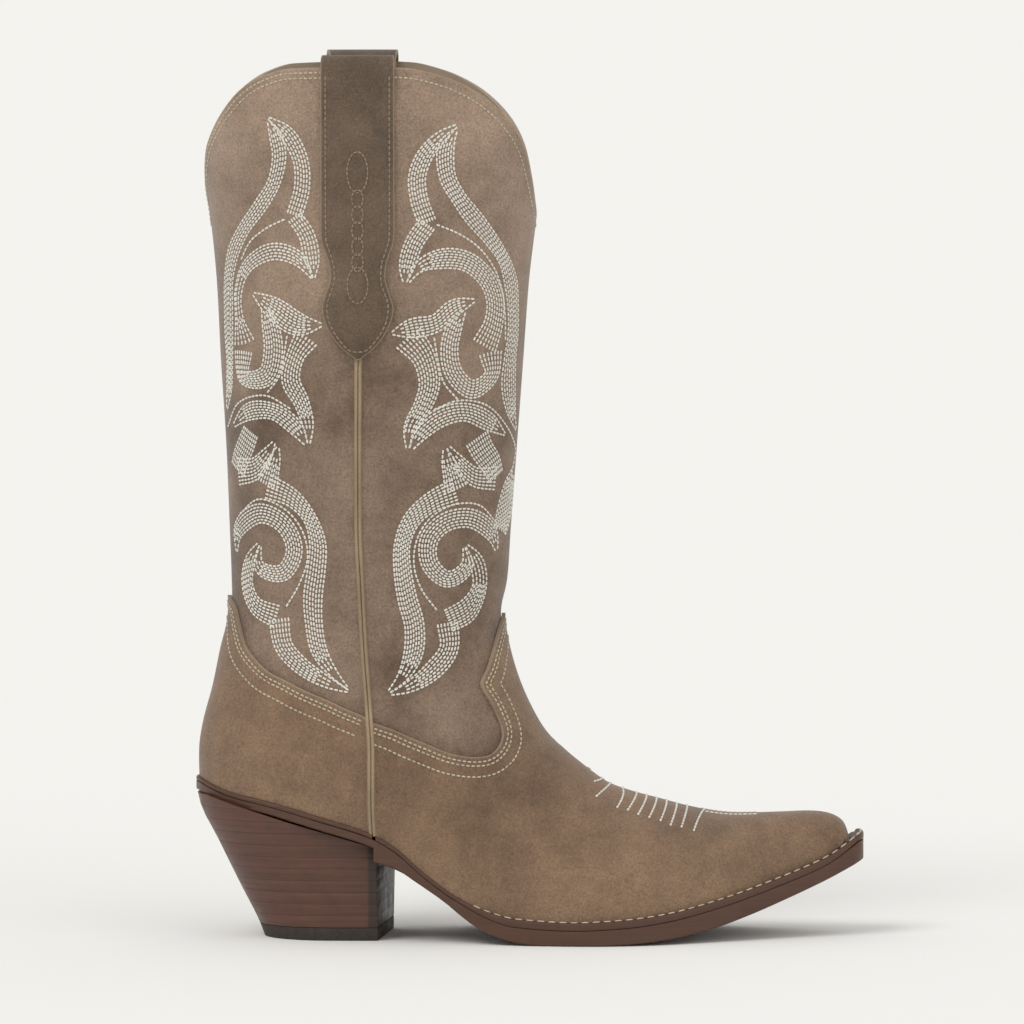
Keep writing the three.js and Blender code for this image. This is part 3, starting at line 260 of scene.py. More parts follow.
# Rows of stitching over the toe: lower end on the outer side (X, Z), X on the middle ridge.
TOE_ROWS = [((36.2, 54), 38.1), ((40.7, 52.8), 44.4), ((45.1, 51.1), 48.6),
            ((49.7, 49.9), 52.8), ((54.3, 48.6), 57), ((58.5, 46.8), 61.3),
            ((63.1, 45.9), 65.9), ((68.2, 44.4), 73.3)]
TOE_FAN = [[(36, 64), (31.3, 61.5), (27.1, 58.7)], [(32.6, 65.3), (29.2, 64.7), (25.9, 64.5)],
           [(23.4, 69.9), (25, 69.2), (26.3, 68.9)]]
TOE_MIDDLE = (73.3, 95.8)  # ends of the double row along the ridge

# ------------------------------------------------------------------ curves and the surface


def hermite(points, x):
    """Value at x of a monotone curve through (x, y) pairs."""
    last = len(points) - 1
    i = 0
    while i < last - 1 and points[i + 1][0] < x:
        i += 1

    def slope(a, b):
        return (points[b][1] - points[a][1]) / (points[b][0] - points[a][0])

    here = slope(i, i + 1)
    before = slope(i - 1, i) if i > 0 else here
    after = slope(i + 1, i + 2) if i + 1 < last else here
    tangent_in = 2 * before * here / (before + here) if before * here > 0 else 0
    tangent_out = 2 * after * here / (after + here) if after * here > 0 else 0
    width = points[i + 1][0] - points[i][0]
    t = min(max((x - points[i][0]) / width, 0), 1)
    rise = points[i + 1][1] - points[i][1]
    square = 3 * rise - (2 * tangent_in + tangent_out) * width
    cube = (tangent_in + tangent_out) * width - 2 * rise
    return points[i][1] + t * (tangent_in * width + t * (square + t * cube))


def smooth_line(points):
    """The same curve as a function that takes arrays."""
    xs = np.linspace(points[0][0], points[-1][0], 500)
    ys = np.array([hermite(points, x) for x in xs])
    return lambda x: np.interp(x, xs, ys)


feather = smooth_line(FEATHER)
tread = smooth_line(TREAD)
seam_x = smooth_line([(z, x) for x, z in SIDE_SEAM])
topline_front = smooth_line(TOPLINE_FRONT)
topline_back = smooth_line(TOPLINE_BACK)
heel_back = smooth_line(HEEL_BACK)
heel_half = smooth_line(HEEL_HALF)
piping_rise = smooth_line(PIPING_RISE)


def blend_in(x, low, high):
    """Smooth step from nought at low to one at high."""
    t = np.clip((x - low) / (high - low), 0, 1)
    return t * t * (3 - 2 * t)


def curve_through(points, per_span=8):
    """Catmull-Rom curve through the rows of an array."""
    p = np.asarray(points, float)
    padded = np.vstack([2 * p[0] - p[1], p, 2 * p[-1] - p[-2]])
    t = np.linspace(0, 1, per_span, endpoint=False)[:, None]
    spans = []
    for i in range(len(p) - 1):
        a, b, c, d = padded[i:i + 4]
        spans.append(0.5 * (2 * b + (c - a) * t + (2 * a - 5 * b + 4 * c - d) * t ** 2
                            + (3 * b - a - 3 * c + d) * t ** 3))
    return np.vstack(spans + [p[-1:]])


def section_at(place):
    """Catmull-Rom blend of the sections at fractional places."""
    p = np.clip(place, 0, LAST_PLACE)
    i = np.minimum(np.floor(p).astype(int), LAST_PLACE - 1)
    t = (p - i)[..., None]
    a, b, c, d = [SECTIONS[np.clip(i + k, 0, LAST_PLACE)] for k in (-1, 0, 1, 2)]
    return 0.5 * (2 * b + (c - a) * t + (2 * a - 5 * b + 4 * c - d) * t ** 2
                  + (3 * b - a - 3 * c + d) * t ** 3)


def face_point(place, angle):
    """Points of the panel face. Angle 0 is the middle of the back, a half turn the front."""
    back_x, back_z, front_x, front_z, outer, inner, swing, fullness = np.moveaxis(
        section_at(place), -1, 0)
    reach = (1 - np.cos(angle)) / 2
    sine = np.sin(angle)
    y = swing + np.where(sine >= 0, -outer, inner) * np.abs(sine) ** fullness
    x = back_x + (front_x - back_x) * reach
    z = back_z + (front_z - back_z) * reach
    return np.stack([x, y, z], -1)


def slopes(place, angle):
    """How a point moves with its place and with its angle."""
    step = 0.02
    low = np.maximum(place - step, 0)
    high = np.minimum(place + step, LAST_PLACE)
    by_place = (face_point(high, angle) - face_point(low, angle)) / (high - low)[..., None]
    by_angle = (face_point(place, angle + step) - face_point(place, angle - step)) / (2 * step)
    return by_place, by_angle


def normal_at(place, angle):
    by_place, by_angle = slopes(place, angle)
    n = np.cross(by_place, by_angle)
    return n / np.maximum(np.linalg.norm(n, axis=-1, keepdims=True), 1e-9)


def skin(place, angle, offset):
    """Face points moved outward, in metres."""
    place, angle = np.asarray(place, float), np.asarray(angle, float)
    offset = np.asarray(offset, float)
    return (face_point(place, angle) + normal_at(place, angle) * offset[..., None]) * MM


def locate(x, z):
    """Places and angles of the outer-side points that stand at (x, z) in the side view."""
    x, z = np.broadcast_arrays(np.asarray(x, float), np.asarray(z, float))
    low = np.zeros(x.shape)
    high = np.full(x.shape, float(LAST_PLACE))
    for _ in range(SEARCH_STEPS):
        middle = (low + high) / 2
        back_x, back_z, front_x, front_z = np.moveaxis(section_at(middle), -1, 0)[:4]
        above = (front_x - back_x) * (z - back_z) - (front_z - back_z) * (x - back_x) < 0
        low = np.where(above, middle, low)
        high = np.where(above, high, middle)
    back_x, back_z, front_x, front_z = np.moveaxis(section_at(low), -1, 0)[:4]
    dx, dz = front_x - back_x, front_z - back_z
    reach = ((x - back_x) * dx + (z - back_z) * dz) / (dx * dx + dz * dz)
    return low, np.arccos(np.clip(1 - 2 * reach, -1, 1))


def place_at_height(angle, z):
    angle, z = np.broadcast_arrays(np.asarray(angle, float), np.asarray(z, float))
    low = np.zeros(z.shape)
    high = np.full(z.shape, float(LAST_PLACE))
    for _ in range(SEARCH_STEPS):
        middle = (low + high) / 2
        above = face_point(middle, angle)[..., 2] > z
        low = np.where(above, middle, low)
        high = np.where(above, high, middle)
    return low


def shift(path, distance):
    """A path of (place, angle) rows moved sideways along the leather, up or aft first."""
    path = np.array(path, float)
    steps = 3
    for _ in range(steps):
        point = face_point(path[:, 0], path[:, 1])
        run = np.gradient(point, axis=0)
        side = np.cross(run, normal_at(path[:, 0], path[:, 1]))
        side /= np.maximum(np.linalg.norm(side, axis=1, keepdims=True), 1e-9)
        u, v = slopes(path[:, 0], path[:, 1])
        move = side * np.asarray(distance / steps).reshape(-1, 1)
        uu, uv, vv = (u * u).sum(1), (u * v).sum(1), (v * v).sum(1)
        mu, mv = (u * move).sum(1), (v * move).sum(1)
        flat = np.maximum(uu * vv - uv * uv, 1e-9)
        path[:, 0] += (mu * vv - mv * uv) / flat
        path[:, 1] += (mv * uu - mu * uv) / flat
    return path


def round_the_middle(path):
    """A path that ends on the middle line, carried on to the inner side."""
    turn = FULL_TURN if path[-1, 1] > 1 else 0
    back = path[-2::-1].copy()
    back[:, 1] = turn - back[:, 1]
    return np.vstack([path, back])


# ------------------------------------------------------------------ patches between edges


def step_lengths(path, turn_weight=0.0, turn_only=False):
    turn = np.abs(np.diff(path[:, 1]))
    if turn_only:
        return turn
    point = face_point(path[:, 0], path[:, 1])
    return np.linalg.norm(np.diff(point, axis=0), axis=1) + turn_weight * turn


def at_shares(path, **measure):
    """Function from shares of the length of a path to its points."""
    lengths = np.concatenate([[0], np.cumsum(step_lengths(path, **measure))])
    lengths /= lengths[-1]
    return lambda t: np.stack([np.interp(t, lengths, path[:, k]) for k in (0, 1)], -1)


def patch(top, bottom, left, right, **measure):
    """Coons patch in place and angle. Its function takes shares across and down."""
    t, b = at_shares(top, **measure), at_shares(bottom, **measure)
    l, r = at_shares(left), at_shares(right)

    def at(u, v):
        u_, v_ = u[..., None], v[..., None]
        return ((1 - v_) * t(u) + v_ * b(u) + (1 - u_) * l(v) + u_ * r(v)
                - (1 - u_) * (1 - v_) * top[0] - u_ * (1 - v_) * top[-1]
                - (1 - u_) * v_ * bottom[0] - u_ * v_ * bottom[-1])

    return at


def settled(surface, across=60, down=50, rounds=1500):
    """The patch with its inside points moved until no cell folds over a hollow in its edge."""
    u, v = np.meshgrid(np.linspace(0, 1, across + 1), np.linspace(0, 1, down + 1),
                       indexing="ij")
    grid = surface(u, v) * (1, TURN_WEIGHT)
    for _ in range(rounds):
        east, west, north, south = grid[2:, 1:-1], grid[:-2, 1:-1], grid[1:-1, 2:], grid[1:-1, :-2]
        along, up = (east - west) / 2, (north - south) / 2
        a, c = (up ** 2).sum(-1, keepdims=True), (along ** 2).sum(-1, keepdims=True)
        b = (along * up).sum(-1, keepdims=True)
        twist = (grid[2:, 2:] - grid[2:, :-2] - grid[:-2, 2:] + grid[:-2, :-2]) / 4
        moved = (a * (east + west) + c * (north + south) - 2 * b * twist) / (2 * (a + c) + 1e-9)
        grid[1:-1, 1:-1] += 0.8 * (moved - grid[1:-1, 1:-1])
    grid /= (1, TURN_WEIGHT)

    def at(u, v):
        k, m = u * across, v * down
        i = np.clip(k.astype(int), 0, across - 1)
        j = np.clip(m.astype(int), 0, down - 1)
        f, g = (k - i)[..., None], (m - j)[..., None]
        return ((1 - f) * (1 - g) * grid[i, j] + f * (1 - g) * grid[i + 1, j]
                + (1 - f) * g * grid[i, j + 1] + f * g * grid[i + 1, j + 1])

    return at


def trace(points):
    xz = curve_through(points, 6)
    return np.stack(locate(xz[:, 0], xz[:, 1]), -1)


def seam_side(top_z, bottom_z, sideways):
    z = np.linspace(top_z, bottom_z, 60)
    return np.stack(locate(seam_x(z) + sideways, z), -1)


def middle_side(angle, start, end):
    place = np.linspace(start, end, 60)
    return np.stack([place, np.full_like(place, angle)], -1)


def topline_path(start_angle, middle):
    angle = np.linspace(start_angle, middle, 90)
    turned = np.abs(np.degrees(angle) - 90)
    z = np.where(angle > HALF_TURN / 2, topline_front(turned), topline_back(turned))
    return np.stack([place_at_height(angle, z), angle], -1)


def feather_path(lift, start_x, end_x, count=60):
    x = start_x + (end_x - start_x) * (1 - np.cos(np.linspace(0, HALF_TURN, count + 1))) / 2
    return np.stack(locate(x, feather(x) + lift), -1)


def shaft_patch(is_front):
    middle = HALF_TURN if is_front else 0.0
    sideways = SEAM_HALF_GAP if is_front else -SEAM_HALF_GAP
    edge = FRONT_UNDERLAP if is_front else BACK_UNDERLAP
    lowest = place_at_height(middle, FRONT_UNDERLAP_MIDDLE if is_front else BACK_UNDERLAP_MIDDLE)
    start = np.stack(locate(seam_x(MOUTH_SIDE_HEIGHT) + sideways, MOUTH_SIDE_HEIGHT), -1)
    top = topline_path(start[1], middle)
    start_z = edge[0][1]
    corner = np.stack(locate(seam_x(start_z) + sideways, start_z), -1)
    bottom = np.vstack([corner, trace(edge)[4:], [lowest, middle]])
    left = seam_side(MOUTH_SIDE_HEIGHT, start_z, sideways)
    left[0], left[-1] = top[0], bottom[0]
    right = middle_side(middle, top[-1, 0], lowest)
    return patch(top, bottom, left, right, turn_only=True)


TURN_WEIGHT = 55


def foot_edge(is_front):
    """Upper edge of the vamp or the counter, from the side seam to the middle."""
    middle = HALF_TURN if is_front else 0.0
    sideways = SEAM_HALF_GAP if is_front else -SEAM_HALF_GAP
    edge = VAMP_EDGE if is_front else COUNTER_EDGE
    height = TONGUE_TIP_HEIGHT if is_front else COUNTER_PEAK_HEIGHT
    start_z = edge[0][1]
    corner = np.stack(locate(seam_x(start_z) + sideways, start_z), -1)
    return np.vstack([corner, trace(edge)[4:], [place_at_height(middle, height), middle]])


def foot_patch(is_front):
    middle = HALF_TURN if is_front else 0.0
    sideways = SEAM_HALF_GAP if is_front else -SEAM_HALF_GAP
    top = foot_edge(is_front)
    start_z = (VAMP_EDGE if is_front else COUNTER_EDGE)[0][1]
    foot_x = seam_x(feather(SIDE_SEAM[0][0])) + sideways
    if is_front:
        lowest = float(LAST_PLACE)
        bottom = feather_path(FOOT_SINK, foot_x, TOE_CORNER_X)
    else:
        lowest = place_at_height(0.0, feather(HEEL_END_X) + FOOT_SINK)
        bottom = feather_path(FOOT_SINK, foot_x, HEEL_END_X)[:-3]
    bottom = np.vstack([bottom, [lowest, middle]])
    left = seam_side(start_z, feather(foot_x) + FOOT_SINK, sideways)
    left[0], left[-1] = top[0], bottom[0]
    right = middle_side(middle, top[-1, 0], lowest)
    plain = patch(top, bottom, left, right, turn_weight=TURN_WEIGHT if is_front else 0.0)
    return settled(plain) if is_front else plain


# ------------------------------------------------------------------ pieces


def new_piece(name, mesh, look, nodes=()):
    """Puts a finished mesh in the scene, riding on the boot."""
    piece = bpy.data.objects.new(name, mesh)
    bpy.context.scene.collection.objects.link(piece)
    mesh.materials.append(look)
    mesh.shade_smooth()
    mesh.set_sharp_from_angle(angle=SHARP_CORNER)
    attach(piece, "root")
    if nodes:
        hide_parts(*nodes)
    return piece


def to_mesh(name, bm):
    mesh = bpy.data.meshes.new(name)
    bmesh.ops.recalc_face_normals(bm, faces=bm.faces)
    bm.to_mesh(mesh)
    bm.free()
    return mesh


def grid_sheet(across, down, point_at, under_at=None):
    """A grid laid on point_at(u, v); with under_at it becomes a closed sheet between the two.

    Each vertex keeps its distance from the cut edge in the rim attribute."""
    bm = bmesh.new()
    bmesh.ops.create_grid(bm, x_segments=across, y_segments=down, size=0.5)
    u_layer = bm.verts.layers.float.new("across")
    v_layer = bm.verts.layers.float.new("down")
    rim = bm.verts.layers.float.new("rim")
    for vertex in bm.verts:
        vertex[u_layer] = vertex.co.x + 0.5
        vertex[v_layer] = vertex.co.y + 0.5

    def lay(vertices, surface):
        u = np.array([vertex[u_layer] for vertex in vertices])
        v = np.array([vertex[v_layer] for vertex in vertices])
        for vertex, co in zip(vertices, surface(u, v)):
            vertex.co = co

    lay(list(bm.verts), point_at)
    border = [vertex for vertex in bm.verts if vertex.is_boundary]
    tree = kdtree.KDTree(len(border))
    for k, vertex in enumerate(border):
        tree.insert(vertex.co, k)
    tree.balance()
    for vertex in bm.verts:
        vertex[rim] = tree.find(vertex.co)[2]
    if under_at:
        made = bmesh.ops.extrude_face_region(bm, geom=list(bm.faces), use_keep_orig=True)
        under = [item for item in made["geom"] if isinstance(item, bmesh.types.BMVert)]
        lay(under, under_at)
    bmesh.ops.remove_doubles(bm, verts=bm.verts, dist=1e-6)
    return bm


def both_sides(half):
    """A half patch from the seam to the middle, run on to the other seam."""
    def at(u, v):
        inner = u > 0.5
        found = half(np.where(inner, 2 - 2 * u, 2 * u), v)
        turn = FULL_TURN if found[..., 1].max() > HALF_TURN / 2 + 0.2 else 0.0
        angle = np.where(inner, turn - found[..., 1], found[..., 1])
        return found[..., 0], angle
    return at


def leather_sheet(name, half, outside, inside, across, down, look, nodes):
    where = both_sides(half)
    bm = grid_sheet(across, down, lambda u, v: skin(*where(u, v), np.full(u.shape, outside)),
                    lambda u, v: skin(*where(u, v), np.full(u.shape, inside)))
    return new_piece(name, to_mesh(name, bm), look, nodes)


# ------------------------------------------------------------------ stitches


def stitch_shape():
    """One stitch of unit length, width and height, lying along X."""
    bm = bmesh.new()
    bmesh.ops.create_uvsphere(bm, u_segments=6, v_segments=5, radius=0.5)
    bmesh.ops.rotate(bm, verts=bm.verts, matrix=Matrix.Rotation(HALF_TURN / 2, 3, "Y"))
    for vertex in bm.verts:
        vertex.co.x = math.copysign(abs(2 * vertex.co.x) ** 0.6 / 2, vertex.co.x)
    points = np.array([vertex.co[:] for vertex in bm.verts])
    faces = [[vertex.index for vertex in face.verts] for face in bm.faces]
    bm.free()
    return points, faces


def stitch_run(path, offset, pitch, fill):
    """Middles, half-runs and normals of the stitches along a path of (place, angle)."""
    point = skin(path[:, 0], path[:, 1], np.full(len(path), offset))
    lengths = np.concatenate([[0], np.cumsum(np.linalg.norm(np.diff(point, axis=0), axis=1))])
    count = int(round(lengths[-1] / (pitch * MM)))
    if count < 1:
        return np.zeros((0, 9))
    starts = np.linspace(0, lengths[-1], count + 1)
    pick = lambda s: np.stack([np.interp(s, lengths, path[:, k]) for k in (0, 1)], -1)
    margin = (1 - fill) / 2 * (starts[1] - starts[0])
    a, b = pick(starts[:-1] + margin), pick(starts[1:] - margin)
    first = skin(a[:, 0], a[:, 1], np.full(count, offset))
    second = skin(b[:, 0], b[:, 1], np.full(count, offset))
    middle = (a + b) / 2
    return np.hstack([(first + second) / 2, second - first, normal_at(*middle.T)])


def stitches(name, runs, width, look):
    """All the stitches of a group of runs, as one piece."""
    runs = [run for run in runs if len(run)]
    rows = np.vstack(runs)
    centre, run, normal = rows[:, 0:3], rows[:, 3:6], rows[:, 6:9]
    side = np.cross(normal, run)
    side /= np.linalg.norm(side, axis=1, keepdims=True)
    shape, faces = stitch_shape()
    points = (centre[:, None] + shape[None, :, 0, None] * run[:, None]
              + shape[None, :, 1, None] * side[:, None] * width * MM
              + shape[None, :, 2, None] * normal[:, None] * width * 0.8 * MM)
    count, each = len(rows), len(shape)
    all_faces = [[k + n * each for k in face] for n in range(count) for face in faces]
    mesh = bpy.data.meshes.new(name)
    mesh.from_pydata(points.reshape(-1, 3), [], all_faces)
    tone = np.random.default_rng(count).uniform(0, 1, count)
    mesh.attributes.new("tone", "FLOAT", "POINT").data.foreach_set("value", np.repeat(tone, each))
    return new_piece(name, mesh, look)


def mirrored(path):
    """The same path on the inner side of the boot."""
    other = path.copy()
    other[:, 1] = -other[:, 1]
    return other


def on_side(path, side):
    return path if side > 0 else mirrored(path)


# ------------------------------------------------------------------ bottom of the boot


def welt_thickness(x):
    return WAIST_WELT_THICKNESS + (WELT_THICKNESS - WAIST_WELT_THICKNESS) * blend_in(
        x, WAIST_START, WELT_FULL)


def overhang(x):
    waist = WAIST_OVERHANG + (WELT_OVERHANG - WAIST_OVERHANG) * blend_in(
        x, WAIST_START, WELT_FULL)
    return np.where(x < BREAST_X, HEEL_OVERHANG, waist)


def sole_top(x):
    return feather(x) - welt_thickness(x) - 0.03


def perimeter(count):
    """Feather line in plan as a closed loop from the heel end round the outer side, and its
    outward normals. Rows of x, y, normal x, normal y."""
    x = HEEL_END_X + (TOE_CORNER_X - HEEL_END_X) * (1 - np.cos(np.linspace(0, HALF_TURN, 90))) / 2
    place, angle = locate(x, feather(x))
    outer = face_point(place, angle)[1:-1, :2]
    inner = face_point(place, -angle)[1:-1, :2]
    tip_y = SECTIONS[-1][6]
    corner = SECTIONS[-1][4]
    tip_x = TOE_CORNER_X + TOE_EXTRA
    toe = np.array([(tip_x - 0.6, tip_y - corner + 0.6), (tip_x, tip_y - corner / 2),
                    (tip_x, tip_y + corner / 2), (tip_x - 0.6, tip_y + corner - 0.6)])
    loop = np.vstack([[(HEEL_END_X, 0)], outer, toe, inner[::-1], [(HEEL_END_X, 0)]])
    lengths = np.concatenate([[0], np.cumsum(np.linalg.norm(np.diff(loop, axis=0), axis=1))])
    s = np.linspace(0, lengths[-1], count, endpoint=False)
    even = np.stack([np.interp(s, lengths, loop[:, k]) for k in (0, 1)], -1)
    for _ in range(8):
        even = 0.5 * even + 0.25 * (np.roll(even, 1, 0) + np.roll(even, -1, 0))
    run = np.roll(even, -1, 0) - np.roll(even, 1, 0)
    run /= np.linalg.norm(run, axis=1, keepdims=True)
    return np.hstack([even, run[:, 1:], -run[:, :1]])


def edge_strip(name, behind_breast, look, nodes):
    """Welt or heel rand: a strip round the boot with rounded outer corners."""
    loop = perimeter(420)
    breast = BREAST_X + BREAST_SKEW * loop[:, 1]
    inside = loop[:, 0] < breast if behind_breast else loop[:, 0] >= breast
    first = int(np.flatnonzero(inside & ~np.roll(inside, 1))[0])
    strip = np.roll(loop, -first, 0)[:inside.sum()]
    corner = 0.9  # rounded outer corners of the strip, mm
    nip = 0.25

    def point_at(u, v):
        k = u * (len(strip) - 1)
        row = np.stack([np.interp(k, np.arange(len(strip)), strip[:, c]) for c in range(4)], -1)
        out = overhang(row[:, 0])
        thick = welt_thickness(row[:, 0])
        none = np.zeros_like(out)
        grows = np.array([none - WELT_INNER, none, out - corner, out - nip, out, out, out - nip,
                          out - corner, none - WELT_INNER, none - WELT_INNER])
        lifts = np.array([none, none, none, none - nip, none - corner, corner - thick,
                          nip - thick, -thick, -thick, none])
        step = np.round(v * (len(grows) - 1)).astype(int)
        each = np.arange(len(u))
        grow, lift = grows[step, each], lifts[step, each]
        x = row[:, 0] + row[:, 2] * grow
        y = row[:, 1] + row[:, 3] * grow
        return np.stack([x, y, feather(x) + lift], -1) * MM

    bm = grid_sheet(len(strip) - 1, 9, point_at)
    ends = [edge for edge in bm.edges if edge.is_boundary]
    bmesh.ops.holes_fill(bm, edges=ends)
    return new_piece(name, to_mesh(name, bm), look, nodes)


def sole_sheet(name, look, nodes):
    """Outsole with its heel seat: a plate between the welt and the tread line."""
    loop = perimeter(700)
    grown = loop[:, :2] + loop[:, 2:] * (overhang(loop[:, 0]) - 0.15)[:, None]
    tip = int(np.argmax(grown[:, 0]))
    heel = int(np.argmin(grown[:, 0]))
    outer = np.roll(grown, -heel, 0)[:(tip - heel) % len(grown) + 1]
    inner = np.roll(grown, -tip, 0)[:(heel - tip) % len(grown) + 1][::-1]
    outer_y = lambda x: np.interp(x, np.maximum.accumulate(outer[:, 0]), outer[:, 1])
    inner_y = lambda x: np.interp(x, np.maximum.accumulate(inner[:, 0]), inner[:, 1])
    low_x, high_x = grown[:, 0].min() + 0.02, grown[:, 0].max() - 0.02
    seat = low_x + (BREAST_X - low_x) * (1 - np.cos(np.linspace(0, HALF_TURN / 2, 30)))
    fore = BREAST_X + (high_x - BREAST_X) * np.sin(np.linspace(0, HALF_TURN / 2, 80))
    rows = np.concatenate([seat, fore])
    is_fore = np.concatenate([np.zeros(len(seat), bool), np.ones(len(fore), bool)])
    ring = 6

    def plan(u, v):
        k = np.clip(np.round(v * (len(rows) - 1)).astype(int), 0, len(rows) - 1)
        x = rows[k]
        low, high = outer_y(x), inner_y(x)
        y = low + (high - low) * u
        skew = BREAST_SKEW * y * (1 - blend_in(np.abs(x - BREAST_X), 4, 40))
        return x + skew, y, is_fore[k], np.minimum(u, 1 - u) * (high - low)

    def top(u, v):
        x, y, _, _ = plan(u, v)
        return np.stack([x, y, sole_top(x)], -1) * MM

    def bottom(u, v):
        x, y, fore_row, inset = plan(u, v)
        round_off = 0.7 * np.clip(1 - inset / 1.2, 0, 1) ** 2
        z = np.where(fore_row, tread(x), sole_top(x) - SEAT_SOLE_THICKNESS)
        return np.stack([x, y, z + round_off], -1) * MM

    def spread(surface):
        share = np.array([0, 0.006, 0.014, 0.03, 0.1, 0.3, 0.5])
        full = np.concatenate([share, 1 - share[-2::-1]])
        return lambda u, v: surface(np.interp(u, np.linspace(0, 1, len(full)), full), v)

    bm = grid_sheet(2 * ring, len(rows) - 1, spread(top), spread(bottom))
    return new_piece(name, to_mesh(name, bm), look, nodes)


def heel_outline(z, count=40):
    """Plan of the heel at a height, from the breast round the back, as (x, y) rows."""
    back, half = heel_back(z), heel_half(z)
    round_end = back + 1.25 * half
    turn = np.linspace(0, HALF_TURN, count)
    x = round_end - (round_end - back) * np.sin(turn) ** 0.9
    y = -half * np.cos(turn)
    x = np.concatenate([[BREAST_X - BREAST_SKEW * half - 0.15], x,
                        [BREAST_X + BREAST_SKEW * half - 0.15]])
    y = np.concatenate([[-half], y, [half]])
    return np.stack([x, y], -1)


def heel_layer(name, low, high, look, node):
    """One lift or the cap: the plan at its lower height drawn up to its upper height."""
    bm = bmesh.new()
    lower = [bm.verts.new((x * MM, y * MM, low * MM)) for x, y in heel_outline(low)]
    base = bm.faces.new(lower)
    made = bmesh.ops.extrude_face_region(bm, geom=[base], use_keep_orig=True)
    upper = [item for item in made["geom"] if isinstance(item, bmesh.types.BMVert)]
    lookup = {(round(v.co.x, 7), round(v.co.y, 7)): k for k, v in enumerate(lower)}
    target = heel_outline(high)
    for vertex in upper:
        k = lookup[(round(vertex.co.x, 7), round(vertex.co.y, 7))]
        vertex.co = Vector((target[k][0] * MM, target[k][1] * MM, high * MM))
    seat_start, seat_end = FEATHER[0][0], -62.0
    z0 = float(sole_top(seat_start)) - SEAT_SOLE_THICKNESS
    z1 = float(sole_top(seat_end)) - SEAT_SOLE_THICKNESS
    slope = (z1 - z0) / (seat_end - seat_start)
    if high > min(z0, z1) - 3:
        bmesh.ops.bisect_plane(
            bm, geom=list(bm.verts) + list(bm.edges) + list(bm.faces), dist=1e-7,
            plane_co=(seat_start * MM, 0, z0 * MM), plane_no=(-slope, 0, 1), clear_outer=True)
        bmesh.ops.holes_fill(bm, edges=[edge for edge in bm.edges if edge.is_boundary])
    if not bm.faces:
        bm.free()
        return None
    bmesh.ops.remove_doubles(bm, verts=bm.verts, dist=1e-6)
    sharp = [edge for edge in bm.edges if edge.is_manifold and edge.calc_face_angle(0) > 0.7]
    bmesh.ops.bevel(bm, geom=sharp, offset=0.14 * MM, offset_type="OFFSET", segments=2,
                    profile=0.5, affect="EDGES", clamp_overlap=True, material=-1)
    return new_piece(name, to_mesh(name, bm), look, (node,))


# ------------------------------------------------------------------ finishes


def join(tree, value, socket):
    """A socket is linked, a plain value is set."""
    if isinstance(value, bpy.types.NodeSocket):
        tree.links.new(value, socket)
    else:
        socket.default_value = value


def put(tree, kind, inputs=None, **settings):
    node = tree.nodes.new(kind)
    for key, value in settings.items():
        setattr(node, key, value)
    for key, value in (inputs or {}).items():
        join(tree, value, node.inputs[key])
    return node


def noise(tree, where, scale, detail=3.0, roughness=0.55):
    return put(tree, "ShaderNodeTexNoise", {"Vector": where, "Scale": scale, "Detail": detail,
                                            "Roughness": roughness}).outputs["Fac"]


def sum_of(tree, a, b, operation="ADD", clamp=False):
    node = put(tree, "ShaderNodeMath", {0: a, 1: b}, operation=operation, use_clamp=clamp)
    return node.outputs[0]


def ramp(tree, value, low, high, out_low=0.0, out_high=1.0):
    return put(tree, "ShaderNodeMapRange", {"Value": value, "From Min": low, "From Max": high,
                                            "To Min": out_low, "To Max": out_high}).outputs[0]


def mixed(tree, share, a, b, blend_type="MIX"):
    node = put(tree, "ShaderNodeMix", data_type="RGBA", blend_type=blend_type)
    join(tree, share, node.inputs[0])
    join(tree, a, node.inputs[6])
    join(tree, b, node.inputs[7])
    return node.outputs[2]


SOCKETS = {"Color": "NodeSocketColor", "Value": "NodeSocketFloat", "Vector": "NodeSocketVector"}


def effect(name, inputs, outputs):
    """An empty node group with named sockets, given as name to kind."""
    tree = bpy.data.node_groups.new(name, "ShaderNodeTree")
    for label, kind in inputs.items():
        tree.interface.new_socket(label, in_out="INPUT", socket_type=SOCKETS[kind])
    for label, kind in outputs.items():
        tree.interface.new_socket(label, in_out="OUTPUT", socket_type=SOCKETS[kind])
    given = tree.nodes.new("NodeGroupInput").outputs
    result = tree.nodes.new("NodeGroupOutput").inputs
    return tree, given, result


